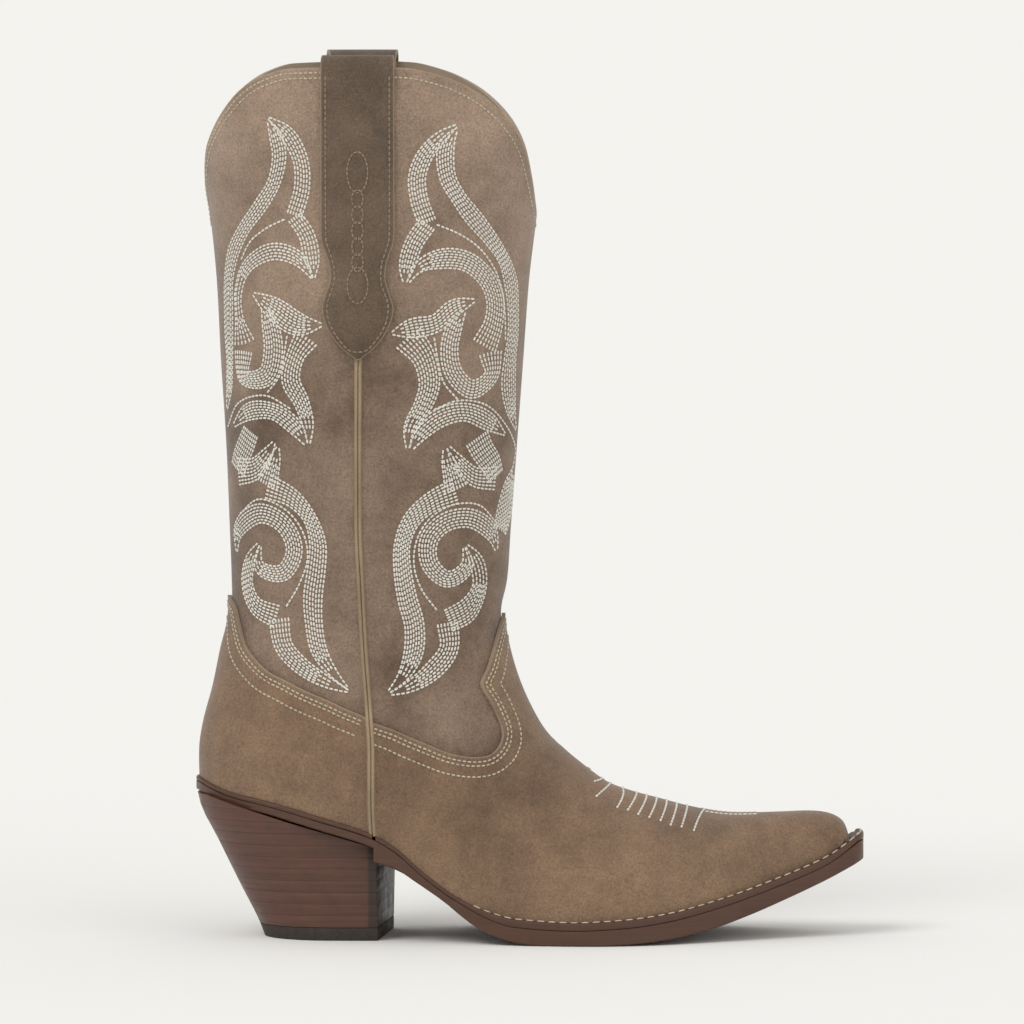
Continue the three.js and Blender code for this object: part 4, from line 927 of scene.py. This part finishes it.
def suede_nap():
    """Brushed suede: clouds of light and dark nap, painted light that makes it lighter towards the
    top of the shaft, pale cut edge.
    """
    tree, given, result = effect(
        "suede_nap",
        {"Light": "Color", "Dark": "Color", "Cut": "Color", "Rim": "Value", "Painted Light": "Value"},
        {"Color": "Color", "Roughness": "Value", "Height": "Value"})
    where = put(tree, "ShaderNodeTexCoord").outputs["Object"]
    clouds = noise(tree, where, 20.0, 5.0, 0.62)
    strokes = noise(tree, where, 120.0, 4.0, 0.7)
    nap = noise(tree, where, 1100.0, 4.0, 0.8)
    height = put(tree, "ShaderNodeSeparateXYZ", {0: where}).outputs["Z"]
    # painted light: the suede grows lighter with height, as if lit from above, by the given
    # strength
    up = ramp(tree, height, 0.2, 0.37)
    lightness = sum_of(tree, sum_of(tree, ramp(tree, clouds, 0.34, 0.66), 0.46, "MULTIPLY"),
                       sum_of(tree, ramp(tree, strokes, 0.3, 0.7), 0.2, "MULTIPLY"))
    painted_light = sum_of(tree, up, given["Painted Light"], "MULTIPLY")
    lightness = sum_of(tree, lightness, painted_light, "ADD", clamp=True)
    tint = mixed(tree, lightness, given["Dark"], given["Light"])
    fleck = ramp(tree, nap, 0.3, 0.7, 0.6, 1.4)
    shade = put(tree, "ShaderNodeCombineColor", {0: fleck, 1: fleck, 2: fleck}).outputs[0]
    tint = mixed(tree, 1.0, tint, shade, "MULTIPLY")
    edge = ramp(tree, given["Rim"], 0.0001, 0.0007, 0.5, 0.0)
    join(tree, mixed(tree, edge, tint, given["Cut"]), result["Color"])
    join(tree, ramp(tree, strokes, 0.3, 0.7, 0.86, 0.98), result["Roughness"])
    pile = sum_of(tree, sum_of(tree, nap, 0.7, "MULTIPLY"),
                  sum_of(tree, strokes, 0.9, "MULTIPLY"))
    join(tree, pile, result["Height"])
    return tree


def leather_grain():
    """Smooth leather: pebbled grain with darker creases and uneven dye."""
    tree, given, result = effect(
        "leather_grain", {"Light": "Color", "Dark": "Color", "Scale": "Value"},
        {"Color": "Color", "Roughness": "Value", "Height": "Value"})
    where = put(tree, "ShaderNodeTexCoord").outputs["Object"]
    cells = put(tree, "ShaderNodeTexVoronoi", {"Vector": where, "Scale": given["Scale"]},
                feature="DISTANCE_TO_EDGE").outputs["Distance"]
    dye = noise(tree, where, 45.0, 4.0)
    crease = ramp(tree, cells, 0.0, 0.12)
    share = sum_of(tree, sum_of(tree, ramp(tree, dye, 0.3, 0.7), 0.7, "MULTIPLY"),
                   sum_of(tree, crease, 0.3, "MULTIPLY"), "ADD", clamp=True)
    join(tree, mixed(tree, share, given["Dark"], given["Light"]), result["Color"])
    join(tree, ramp(tree, dye, 0.3, 0.7, 0.5, 0.72), result["Roughness"])
    join(tree, crease, result["Height"])
    return tree


def burnished_layers():
    """Cut leather edge, burnished and waxed: fine level streaks, stretched along the layers."""
    tree, given, result = effect(
        "burnished_layers",
        {"Light": "Color", "Dark": "Color", "Stretch": "Value", "Breast Shade": "Value"},
        {"Color": "Color", "Roughness": "Value", "Height": "Value"})
    where = put(tree, "ShaderNodeTexCoord").outputs["Object"]
    scale = put(tree, "ShaderNodeCombineXYZ", {0: 18.0, 1: 18.0, 2: given["Stretch"]}).outputs[0]
    flat = put(tree, "ShaderNodeVectorMath", {0: where, 1: scale}, operation="MULTIPLY").outputs[0]
    streaks = noise(tree, flat, 1.0, 5.0, 0.65)
    scuffs = noise(tree, where, 160.0, 4.0, 0.6)
    share = sum_of(tree, sum_of(tree, ramp(tree, streaks, 0.25, 0.75), 0.65, "MULTIPLY"),
                   sum_of(tree, ramp(tree, scuffs, 0.3, 0.7), 0.35, "MULTIPLY"), "ADD")
    breast = BREAST_X * MM
    forward = put(tree, "ShaderNodeSeparateXYZ", {0: where}).outputs["X"]
    dyed = sum_of(tree, ramp(tree, forward, breast - 0.0075, breast - 0.0065),
                  given["Breast Shade"], "MULTIPLY")
    tint = mixed(tree, share, given["Dark"], given["Light"])
    join(tree, mixed(tree, dyed, tint, (0.03, 0.02, 0.014, 1)), result["Color"])
    join(tree, ramp(tree, scuffs, 0.3, 0.7, 0.34, 0.58), result["Roughness"])
    join(tree, streaks, result["Height"])
    return tree


def speckle():
    """Granular or fibrous stuff such as cork, board, wood and rubber."""
    tree, given, result = effect(
        "speckle", {"Light": "Color", "Dark": "Color", "Scale": "Value"},
        {"Color": "Color", "Roughness": "Value", "Height": "Value"})
    where = put(tree, "ShaderNodeTexCoord").outputs["Object"]
    grains = put(tree, "ShaderNodeTexVoronoi", {"Vector": where, "Scale": given["Scale"]})
    fine = noise(tree, where, 300.0, 4.0)
    share = sum_of(tree, sum_of(tree, grains.outputs["Distance"], 0.7, "MULTIPLY"),
                   sum_of(tree, fine, 0.5, "MULTIPLY"), "ADD", clamp=True)
    join(tree, mixed(tree, share, given["Dark"], given["Light"]), result["Color"])
    join(tree, ramp(tree, fine, 0.3, 0.7, 0.6, 0.9), result["Roughness"])
    join(tree, grains.outputs["Distance"], result["Height"])
    return tree


def finish(name, group, values, bump=0.3, depth=0.0003, sheen=0.0, metallic=0.0, read=None):
    """A material around one effect group. read names mesh attributes to feed to its inputs."""
    look = bpy.data.materials.new(name)
    look.use_nodes = True
    tree = look.node_tree
    shader = tree.nodes["Principled BSDF"]
    shader.inputs["Metallic"].default_value = metallic
    shader.inputs["Sheen Weight"].default_value = sheen
    shader.inputs["Sheen Roughness"].default_value = 0.5
    used = put(tree, "ShaderNodeGroup", node_tree=group)
    for key, value in values.items():
        join(tree, value, used.inputs[key])
    for key, attribute in (read or {}).items():
        found = put(tree, "ShaderNodeAttribute", attribute_name=attribute)
        join(tree, found.outputs["Fac"], used.inputs[key])
    raised = put(tree, "ShaderNodeBump", {"Height": used.outputs["Height"], "Strength": bump,
                                          "Distance": depth})
    join(tree, used.outputs["Color"], shader.inputs["Base Color"])
    join(tree, used.outputs["Roughness"], shader.inputs["Roughness"])
    join(tree, raised.outputs["Normal"], shader.inputs["Normal"])
    return look


def thread_finish(name, light, dark):
    """Twisted thread: each stitch has its own tone, with fine plies across it."""
    look = bpy.data.materials.new(name)
    look.use_nodes = True
    tree = look.node_tree
    shader = tree.nodes["Principled BSDF"]
    tone = put(tree, "ShaderNodeAttribute", attribute_name="tone").outputs["Fac"]
    where = put(tree, "ShaderNodeTexCoord").outputs["Object"]
    plies = noise(tree, where, 2400.0, 2.0)
    share = sum_of(tree, sum_of(tree, tone, 0.55, "MULTIPLY"),
                   sum_of(tree, plies, 0.45, "MULTIPLY"), "ADD", clamp=True)
    raised = put(tree, "ShaderNodeBump", {"Height": plies, "Strength": 0.35,
                                          "Distance": 0.0001})
    join(tree, mixed(tree, share, dark, light), shader.inputs["Base Color"])
    join(tree, raised.outputs["Normal"], shader.inputs["Normal"])
    shader.inputs["Roughness"].default_value = 0.6
    shader.inputs["Sheen Weight"].default_value = 0.15
    return look


def rgba(color):
    return (*color[:3], 1.0)


def darker(color, share):
    return (color[0] * share, color[1] * share, color[2] * share, 1.0)


LOOKS = {}


def looks():
    """Every finish of the boot, built once from the chosen colours."""
    if LOOKS:
        return LOOKS
    c = bpy.context.scene.boot_colours
    nap, grain = suede_nap(), leather_grain()
    layers, grains = burnished_layers(), speckle()

    # The last number of a suede is the strength of the painted light that lightens it towards the
    # top of the shaft.
    def suede(name, light, dark, painted_light):
        return finish(name, nap, {"Light": rgba(light), "Dark": rgba(dark), "Cut": rgba(c.cut),
                                  "Painted Light": painted_light}, 0.5, 0.0005, 0.25, read={"Rim": "rim"})

    # The shaft gets painted light up its height; the foot and the straps get none.
    LOOKS["shaft"] = suede("shaft_suede", c.suede_light, c.suede_dark, 0.42)
    LOOKS["foot"] = suede("foot_suede", c.foot_light, c.foot_dark, 0.0)
    LOOKS["strap"] = suede("strap_suede", c.strap_light, c.strap_dark, 0.0)
    LOOKS["bead"] = finish("bead_leather", grain, {
        "Light": rgba(c.bead), "Dark": darker(c.bead, 0.55), "Scale": 900.0}, 0.35, 0.0002)
    LOOKS["lining"] = finish("lining_leather", grain, {
        "Light": rgba(c.lining), "Dark": darker(c.lining, 0.7), "Scale": 1100.0}, 0.2, 0.0002)
    LOOKS["sole"] = finish("sole_leather", layers, {
        "Light": rgba(c.sole), "Dark": darker(c.sole, 0.55), "Stretch": 900.0}, 0.3, 0.0003)
    LOOKS["heel"] = finish("heel_leather", layers, {
        "Light": rgba(c.heel), "Dark": darker(c.heel, 0.4), "Stretch": 600.0,
        "Breast Shade": 0.85}, 0.3, 0.0003)
    LOOKS["rubber"] = finish("cap_rubber", grains, {
        "Light": rgba(c.rubber), "Dark": darker(c.rubber, 0.6), "Scale": 700.0}, 0.2, 0.0002)
    LOOKS["board"] = finish("pressed_board", grains, {
        "Light": (0.33, 0.2, 0.1, 1), "Dark": (0.2, 0.12, 0.06, 1), "Scale": 400.0})
    LOOKS["cork"] = finish("cork", grains, {
        "Light": (0.36, 0.22, 0.1, 1), "Dark": (0.15, 0.08, 0.03, 1), "Scale": 260.0})
    LOOKS["wood"] = finish("peg_wood", layers, {
        "Light": (0.5, 0.32, 0.14, 1), "Dark": (0.3, 0.18, 0.07, 1), "Stretch": 18.0})
    LOOKS["steel"] = finish("shank_steel", layers, {
        "Light": (0.5, 0.5, 0.5, 1), "Dark": (0.3, 0.3, 0.3, 1), "Stretch": 18.0},
        0.1, 0.0001, metallic=1.0)
    LOOKS["pale_thread"] = thread_finish("pale_thread", rgba(c.thread), darker(c.thread, 0.72))
    LOOKS["khaki_thread"] = thread_finish(
        "khaki_thread", rgba(c.edge_thread), darker(c.edge_thread, 0.6))
    LOOKS["dark_thread"] = thread_finish(
        "dark_thread", rgba(c.strap_thread), darker(c.strap_thread, 0.6))
    return LOOKS


# ------------------------------------------------------------------ what a user may change


def colour(name, description, value):
    return bpy.props.FloatVectorProperty(name=name, description=description, subtype="COLOR",
                                         size=3, min=0, max=1, default=value)


class BootColours(bpy.types.PropertyGroup):
    """Colours of the boot"""
    suede_light: colour("Shaft light", "Brushed-up nap of the shaft", (0.40, 0.285, 0.205))
    suede_dark: colour("Shaft dark", "Laid-down nap of the shaft", (0.078, 0.046, 0.026))
    foot_light: colour("Foot light", "Brushed-up nap of the foot", (0.37, 0.24, 0.145))
    foot_dark: colour("Foot dark", "Laid-down nap of the foot", (0.125, 0.072, 0.042))
    strap_light: colour("Strap light", "Brushed-up nap of the straps", (0.235, 0.163, 0.108))
    strap_dark: colour("Strap dark", "Laid-down nap of the straps", (0.068, 0.045, 0.029))
    cut: colour("Cut edge", "Raw cut edge of the suede", (0.42, 0.33, 0.23))
    bead: colour("Side welt", "Beads along the side seams", (0.4, 0.29, 0.18))
    lining: colour("Lining", "Smooth lining leather", (0.4, 0.31, 0.22))
    sole: colour("Sole edge", "Burnished welt and outsole", (0.108, 0.045, 0.024))
    heel: colour("Heel stack", "Burnished lifts", (0.14, 0.058, 0.037))
    rubber: colour("Heel cap", "Rubber under the heel", (0.045, 0.032, 0.025))
    thread: colour("Embroidery thread", "Pale thread of the shaft and toe", (0.86, 0.83, 0.75))
    edge_thread: colour("Edge thread", "Thread along the cut edges", (0.62, 0.54, 0.4))
    strap_thread: colour("Strap thread", "Thread on the pull straps", (0.3, 0.23, 0.15))


def length(name, description, value):
    return bpy.props.FloatProperty(name=name, description=description, default=value, min=0.1,
                                   max=20, unit="NONE")


class BootSizes(bpy.types.PropertyGroup):
    """Sizes of the stitching, in millimetres"""
    row_pitch: length("Row pitch", "Gap between embroidery rows, mm", 1.22)
    stitch_length: length("Embroidery stitch", "Length of an embroidery stitch, mm", 2.1)
    thread_width: length("Embroidery thread", "Width of the embroidery thread, mm", 0.86)
    edge_stitch: length("Edge stitch", "Length of a stitch along the edges, mm", 2.2)
    edge_thread_width: length("Edge thread", "Width of the edge thread, mm", 0.78)
    welt_stitch: length("Welt stitch", "Length of a welt stitch, mm", 4.6)


# ------------------------------------------------------------------ stitched runs


def blocks_of(keep, shortest=4):
    """Unbroken stretches where keep holds, as arrays of row numbers."""
    cuts = np.flatnonzero(np.diff(keep)) + 1
    stretches = np.split(np.arange(len(keep)), cuts)
    return [block for block in stretches if keep[block[0]] and len(block) >= shortest]


def embroidery_runs(bands, lines, side, sizes):
    """Stitches of one quarter of the shaft."""
    runs = []
    offset = 0.12  # middle of the thread over the suede, mm
    middle_gap = 0.1  # sine of the angle from the middle line where a row stops
    end_pitch, even_pitch, odd_pitch = 0.12, 0.62, 0.9  # rows drop out where a band narrows, mm

    def sew(path):
        for block in blocks_of(np.abs(np.sin(path[:, 1])) > middle_gap):
            runs.append(stitch_run(on_side(path[block], side), offset,
                                   sizes.stitch_length, 0.82))

    for stations in bands.values():
        drawn = curve_through(stations, 10)
        half = np.maximum(drawn[:, 2], 0)
        path = np.stack(locate(drawn[:, 0], drawn[:, 1]), -1)
        full = np.percentile(half, 70)
        count = max(3, int(round(2 * full / sizes.row_pitch)) + 1)
        pitch = 2 * half / (count - 1)
        for k in range(count):
            is_outline = k in (0, count - 1)
            least = end_pitch if is_outline else (odd_pitch if k % 2 else even_pitch)
            moved = shift(path, (2 * k / (count - 1) - 1) * half)
            for block in blocks_of(pitch > least):
                sew(moved[block])
    for line in lines:
        drawn = curve_through(line, 10)
        sew(np.stack(locate(drawn[:, 0], drawn[:, 1]), -1))
    return runs


def inward(path, distance):
    """An edge moved into its piece, down the boot, without the loops at its hollow corners."""
    one, other = shift(path, distance), shift(path, -distance)
    low = min((one, other), key=lambda moved: face_point(*moved.T)[:, 2].mean())
    edge, point = face_point(*path.T), face_point(*low.T)
    gap = np.linalg.norm(point[:, None] - edge[None], axis=2).min(1)
    return low[gap > 0.93 * distance]


def evened(path, count=240):
    return at_shares(path)(np.linspace(0, 1, count))


def strap_run(points, side, pitch, fill=0.8):
    """Stitches on the outer face of a pull strap, along (dx, z) points."""
    drawn = curve_through(points, 8)
    path = np.stack(locate(STRAP_X + drawn[:, 0], drawn[:, 1]), -1)
    return stitch_run(on_side(path, side), STRAP_THICKNESS + 0.42, pitch, fill)


def oval(middle_z, half_height, half_width):
    turn = np.linspace(0, FULL_TURN, 17)
    return [(half_width * math.sin(t), middle_z + half_height * math.cos(t)) for t in turn]


# ------------------------------------------------------------------ operators


class BOOT_OT_shaft(bpy.types.Operator):
    """Front and back shaft panels with their linings"""
    bl_idname = "boot.shaft"
    bl_label = "Shaft"

    def execute(self, context):
        found = looks()
        for where, is_front in (("front", True), ("back", False)):
            half = shaft_patch(is_front)
            leather_sheet(f"{where}_shaft", half, PANEL_OUT, PANEL_IN, 120, 90, found["shaft"],
                          (f"{where}_shaft_panel",))
            leather_sheet(f"{where}_lining", half, LINING_OUT, LINING_IN, 80, 60,
                          found["lining"], (f"shaft_lining_{where}",))
        return {"FINISHED"}


class BOOT_OT_foot(bpy.types.Operator):
    """Vamp and counter cover"""
    bl_idname = "boot.foot"
    bl_label = "Vamp and counter"

    def execute(self, context):
        found = looks()
        leather_sheet("vamp_suede", foot_patch(True), COVER_OUT, COVER_IN, 160, 80,
                      found["foot"], ("vamp",))
        leather_sheet("counter_suede", foot_patch(False), COVER_OUT, COVER_IN, 100, 60,
                      found["foot"], ("counter_cover",))
        return {"FINISHED"}


class BOOT_OT_side_welts(bpy.types.Operator):
    """Beaded strips down the side seams"""
    bl_idname = "boot.side_welts"
    bl_label = "Side welts"

    def execute(self, context):
        found = looks()
        depth = 0.9  # height of a bead over its outer foot, mm
        tuck = 0.25  # share of the width that turns under on each side
        top_z = MOUTH_SIDE_HEIGHT - 0.6
        bottom_z = float(feather(SIDE_SEAM[0][0])) - 0.5
        for name, side in (("lateral", 1), ("medial", -1)):
            def point_at(u, v, side=side):
                z = top_z + (bottom_z - top_z) * v
                across = np.clip((u - tuck) / (1 - 2 * tuck), 0, 1) * 2 - 1
                dx = across * PIPING_HALF_WIDTH
                bead = np.sqrt(np.clip(1 - (2 * np.abs(across) - 1) ** 2, 0, 1))
                top = piping_rise(z) - depth + depth * bead
                offset = np.where((u < tuck / 2) | (u > 1 - tuck / 2), PANEL_IN, top)
                dx = np.where((u < tuck / 4) | (u > 1 - tuck / 4), 0, dx)
                place, angle = locate(seam_x(z) + dx, z)
                return skin(place, side * angle, offset)

            bm = grid_sheet(32, 170, point_at)
            ends = [edge for edge in bm.edges if edge.is_boundary]
            bmesh.ops.holes_fill(bm, edges=ends)
            new_piece(f"side_bead_{name}", to_mesh(f"side_bead_{name}", bm), found["bead"],
                      (f"side_welt_{name}",))
        return {"FINISHED"}


class BOOT_OT_pull_straps(bpy.types.Operator):
    """Pull straps, folded over the mouth at both sides"""
    bl_idname = "boot.pull_straps"
    bl_label = "Pull straps"

    def execute(self, context):
        found = looks()
        half_thick = STRAP_THICKNESS / 2
        outer_leg = [(0.3 + half_thick, z, half) for z, half in STRAP_OUTLINE]
        inner_leg = [(offset, z, STRAP_OUTLINE[-1][1]) for offset, z in STRAP_LOOP]
        route = curve_through(outer_leg + inner_leg, 6)
        run = np.gradient(route[:, :2], axis=0)
        run /= np.linalg.norm(run, axis=1, keepdims=True)
        for name, side in (("lateral", 1), ("medial", -1)):
            def surface(sign, side=side):
                def at(u, v):
                    k = v * (len(route) - 1)
                    pick = lambda values: np.interp(k, np.arange(len(route)), values)
                    offset = pick(route[:, 0]) + sign * half_thick * pick(run[:, 1])
                    z = pick(route[:, 1]) - sign * half_thick * pick(run[:, 0])
                    dx = (2 * u - 1) * pick(route[:, 2])
                    place, angle = locate(STRAP_X + dx, z)
                    return skin(place, side * angle, offset)
                return at

            bm = grid_sheet(24, len(route) - 1, surface(1), surface(-1))
            new_piece(f"strap_{name}", to_mesh(f"strap_{name}", bm), found["strap"],
                      (f"pull_strap_{name}",))
        return {"FINISHED"}


class BOOT_OT_bottom(bpy.types.Operator):
    """Welt, heel rand and outsole"""
    bl_idname = "boot.bottom"
    bl_label = "Welt and outsole"

    def execute(self, context):
        found = looks()
        edge_strip("welt_strip", False, found["sole"], ("welt",))
        edge_strip("rand_strip", True, found["sole"], ("heel_rand",))
        sole_sheet("outsole_plate", found["sole"], ("outsole",))
        return {"FINISHED"}


class BOOT_OT_heel(bpy.types.Operator):
    """Stacked heel lifts and the rubber cap"""
    bl_idname = "boot.heel"
    bl_label = "Heel"

    def execute(self, context):
        found = looks()
        heel_layer("cap_layer", 0.0, CAP_THICKNESS - 0.2, found["rubber"], "heel_cap")
        for k in range(LIFT_COUNT):
            low = CAP_THICKNESS + k * LIFT_PITCH
            heel_layer(f"lift_{k + 1}", low, low + LIFT_PITCH, found["heel"],
                       f"heel_lift_{k + 1}")
        return {"FINISHED"}


class BOOT_OT_inner_parts(bpy.types.Operator):
    """Finishes of the parts inside the boot that keep their frame shapes"""
    bl_idname = "boot.inner_parts"
    bl_label = "Inner parts"

    def execute(self, context):
        found = looks()
        finish_of = {"vamp_lining": "lining", "heel_lining": "lining", "sock_liner": "lining",
                     "heel_stiffener": "board", "toe_puff": "board", "insole_board": "board",
                     "cork_filler": "cork", "steel_shank": "steel", "heel_screw": "steel"}
        for node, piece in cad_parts.items():
            if node.startswith("heel_nail"):
                finish_of[node] = "steel"
            if node.startswith("shank_peg"):
                finish_of[node] = "wood"
            if node in finish_of:
                piece.data.materials.clear()
                piece.data.materials.append(found[finish_of[node]])
        return {"FINISHED"}


class BOOT_OT_embroidery(bpy.types.Operator):
    """Rows of pale stitches on the four quarters of the shaft"""
    bl_idname = "boot.embroidery"
    bl_label = "Shaft embroidery"

    def execute(self, context):
        found = looks()
        sizes = context.scene.boot_sizes
        for where, bands, lines in (("front", FRONT_BANDS, FRONT_LINES),
                                    ("back", BACK_BANDS, BACK_LINES)):
            for name, side in (("lateral", 1), ("medial", -1)):
                runs = embroidery_runs(bands, lines, side, sizes)
                stitches(f"embroidery_{where}_{name}", runs, sizes.thread_width,
                         found["pale_thread"])
        return {"FINISHED"}


class BOOT_OT_edge_stitching(bpy.types.Operator):
    """Rows along the mouth, the vamp and the counter"""
    bl_idname = "boot.edge_stitching"
    bl_label = "Edge stitching"

    def execute(self, context):
        found = looks()
        sizes = context.scene.boot_sizes
        start = locate(seam_x(MOUTH_SIDE_HEIGHT), MOUTH_SIDE_HEIGHT)[1]
        rows = {
            "topline": [(topline_path(start + 0.03, HALF_TURN), (4.0,), 0.1),
                        (topline_path(start - 0.03, 0.0), (2.0, 4.2), 0.1)],
            "vamp": [(foot_edge(True), (2.1, 3.8, 8.6), COVER_OUT + 0.1)],
            "counter": [(foot_edge(False), (2.1, 3.7, 9.0), COVER_OUT + 0.1)],
        }
        for name, group in rows.items():
            runs = []
            for path, distances, offset in group:
                whole = evened(round_the_middle(path), 420)
                for distance in distances:
                    moved = evened(inward(whole, distance)[2:-2], 420)
                    runs.append(stitch_run(moved, offset, sizes.edge_stitch, 0.74))
            stitches(f"{name}_stitching", runs, sizes.edge_thread_width, found["khaki_thread"])
        return {"FINISHED"}


class BOOT_OT_toe_stitching(bpy.types.Operator):
    """Wrinkle rows across the toe and the double row along its ridge"""
    bl_idname = "boot.toe_stitching"
    bl_label = "Toe stitching"

    def execute(self, context):
        found = looks()
        sizes = context.scene.boot_sizes
        runs = []
        offset = COVER_OUT + 0.1

        def ridge_place(x):
            low, high = 0.0, float(LAST_PLACE)
            for _ in range(SEARCH_STEPS):
                middle = (low + high) / 2
                if face_point(np.array(middle), np.array(HALF_TURN))[0] < x:
                    low = middle
                else:
                    high = middle
            return low

        for (x, z), ridge_x in TOE_ROWS:
            place, angle = [float(value) for value in locate(x, z)]
            top = ridge_place(ridge_x)
            share = np.linspace(0, 1, 40)
            bowed = place + (top - place) * share ** 1.5
            path = np.stack([bowed, angle + (HALF_TURN - angle) * share], -1)
            runs.append(stitch_run(evened(round_the_middle(path), 120), offset, 2.0, 0.86))
        for fan in TOE_FAN:
            drawn = curve_through(fan, 10)
            path = np.stack(locate(drawn[:, 0], drawn[:, 1]), -1)
            for side in (1, -1):
                runs.append(stitch_run(on_side(path, side), offset, 1.9, 0.86))
        ends = [ridge_place(x) for x in TOE_MIDDLE]
        for turn in (-0.12, 0.12):
            place = np.linspace(*ends, 40)
            path = np.stack([place, np.full(40, HALF_TURN + turn)], -1)
            runs.append(stitch_run(path, offset, 2.0, 0.86))
        stitches("toe_stitching", runs, sizes.thread_width + 0.1, found["pale_thread"])
        return {"FINISHED"}


class BOOT_OT_strap_stitching(bpy.types.Operator):
    """Edge rows and the chain of ovals on the pull straps"""
    bl_idname = "boot.strap_stitching"
    bl_label = "Strap stitching"

    def execute(self, context):
        found = looks()
        inset = 2.0  # edge row to the cut edge, mm
        half_at = smooth_line(STRAP_OUTLINE)
        heights = np.linspace(363, 249, 40)
        half = half_at(heights) - inset
        down = [(-h, z) for h, z in zip(half, heights) if h > 0.3]
        outline = down + [(0, down[-1][1] - 0.8)] + [(-x, z) for x, z in reversed(down)]
        ovals = [(323, 8.6, 4.2), (276, 7.6, 4.2)]  # middle height, half height, half width
        links = [(312.0 - k * 6.6, 3.9, 2.3) for k in range(5)]
        for name, side in (("lateral", 1), ("medial", -1)):
            runs = [strap_run(outline, side, 2.4)]
            for middle_z, half_height, half_width in ovals + links:
                runs.append(strap_run(oval(middle_z, half_height, half_width), side, 2.0, 0.88))
            stitches(f"strap_stitching_{name}", runs, 0.75, found["dark_thread"])
        return {"FINISHED"}


class BOOT_OT_welt_stitching(bpy.types.Operator):
    """Lockstitches along the top of the welt"""
    bl_idname = "boot.welt_stitching"
    bl_label = "Welt stitching"

    def execute(self, context):
        found = looks()
        pitch = context.scene.boot_sizes.welt_stitch
        loop = perimeter(900)
        grow = overhang(loop[:, 0]) - 1.4
        line = loop[:, :2] + loop[:, 2:] * grow[:, None]
        line = line[loop[:, 0] > WAIST_START + 6]
        point = np.column_stack([line, feather(line[:, 0]) + 0.1]) * MM
        lengths = np.concatenate([[0], np.cumsum(np.linalg.norm(np.diff(point, axis=0), axis=1))])
        count = int(lengths[-1] / (pitch * MM))
        starts = np.linspace(0, lengths[-1], count + 1)
        pick = lambda s: np.stack([np.interp(s, lengths, point[:, k]) for k in range(3)], -1)
        gap = 0.16 * pitch * MM
        first, second = pick(starts[:-1] + gap), pick(starts[1:] - gap)
        up = np.tile([0.0, 0.0, 1.0], (count, 1))
        stitches("welt_stitching", [np.hstack([(first + second) / 2, second - first, up])],
                 1.0, found["khaki_thread"])
        return {"FINISHED"}


class BOOT_OT_stage(bpy.types.Operator):
    """Pale floor, soft light and the camera"""
    bl_idname = "boot.stage"
    bl_label = "Stage"

    def execute(self, context):
        scene = context.scene
        scene.view_settings.view_transform = "Standard"
        bm = bmesh.new()
        bmesh.ops.create_grid(bm, x_segments=4, y_segments=4, size=60)
        mesh = bpy.data.meshes.new("floor")
        bm.to_mesh(mesh)
        bm.free()
        floor = bpy.data.objects.new("floor", mesh)
        scene.collection.objects.link(floor)
        paint = bpy.data.materials.new("floor_paint")
        paint.use_nodes = True
        shader = paint.node_tree.nodes["Principled BSDF"]
        shader.inputs["Base Color"].default_value = (0.93, 0.925, 0.9, 1)
        shader.inputs["Roughness"].default_value = 0.9
        shader.inputs["Specular IOR Level"].default_value = 0.0
        mesh.materials.append(paint)

        world = bpy.data.worlds.new("studio")
        world.use_nodes = True
        world.node_tree.nodes["Background"].inputs["Color"].default_value = (1, 0.995, 0.98, 1)
        world.node_tree.nodes["Background"].inputs["Strength"].default_value = 0.68
        scene.world = world
        for name, strength, spread, turn in (("key", 1.0, 30, (40, 0, -42)),
                                             ("fill", 0.3, 60, (60, 0, 50))):
            light = bpy.data.lights.new(name, "SUN")
            light.energy = strength
            light.angle = math.radians(spread)
            lamp = bpy.data.objects.new(name, light)
            lamp.rotation_euler = [math.radians(angle) for angle in turn]
            scene.collection.objects.link(lamp)

        camera = bpy.data.cameras.new("camera")
        view = bpy.data.objects.new("camera", camera)
        scene.collection.objects.link(view)
        place = Vector((0.0225, -4.3, 0.48))
        aim = Vector((-0.0074, 0.0, 0.1784))
        view.location = place
        view.rotation_euler = (aim - place).to_track_quat("-Z", "Y").to_euler()
        field_width = 0.43008
        camera.sensor_width = 36
        camera.lens = camera.sensor_width * (aim - place).length / field_width
        camera.clip_end = 300
        scene.camera = view
        return {"FINISHED"}


class BOOT_PT_panel(bpy.types.Panel):
    """Steps of the boot, in working order"""
    bl_label = "Cowboy boot"
    bl_idname = "BOOT_PT_panel"
    bl_space_type = "VIEW_3D"
    bl_region_type = "UI"
    bl_category = "Boot"

    def draw(self, context):
        for group in (context.scene.boot_colours, context.scene.boot_sizes):
            for name in group.bl_rna.properties.keys():
                if name not in ("rna_type", "name"):
                    self.layout.prop(group, name)
        for operator in STEPS:
            self.layout.operator(operator.bl_idname)


STEPS = (BOOT_OT_shaft, BOOT_OT_foot, BOOT_OT_side_welts, BOOT_OT_pull_straps, BOOT_OT_bottom,
         BOOT_OT_heel, BOOT_OT_inner_parts, BOOT_OT_embroidery, BOOT_OT_edge_stitching,
         BOOT_OT_toe_stitching, BOOT_OT_strap_stitching, BOOT_OT_welt_stitching, BOOT_OT_stage)
CLASSES = (BootColours, BootSizes, *STEPS, BOOT_PT_panel)


def register():
    for item in CLASSES:
        bpy.utils.register_class(item)
    bpy.types.Scene.boot_colours = bpy.props.PointerProperty(type=BootColours)
    bpy.types.Scene.boot_sizes = bpy.props.PointerProperty(type=BootSizes)


def unregister():
    del bpy.types.Scene.boot_sizes
    del bpy.types.Scene.boot_colours
    for item in reversed(CLASSES):
        bpy.utils.unregister_class(item)


def main():
    register()
    for step in STEPS:
        group, name = step.bl_idname.split(".")
        getattr(getattr(bpy.ops, group), name)()


if __name__ == "__main__":
    main()
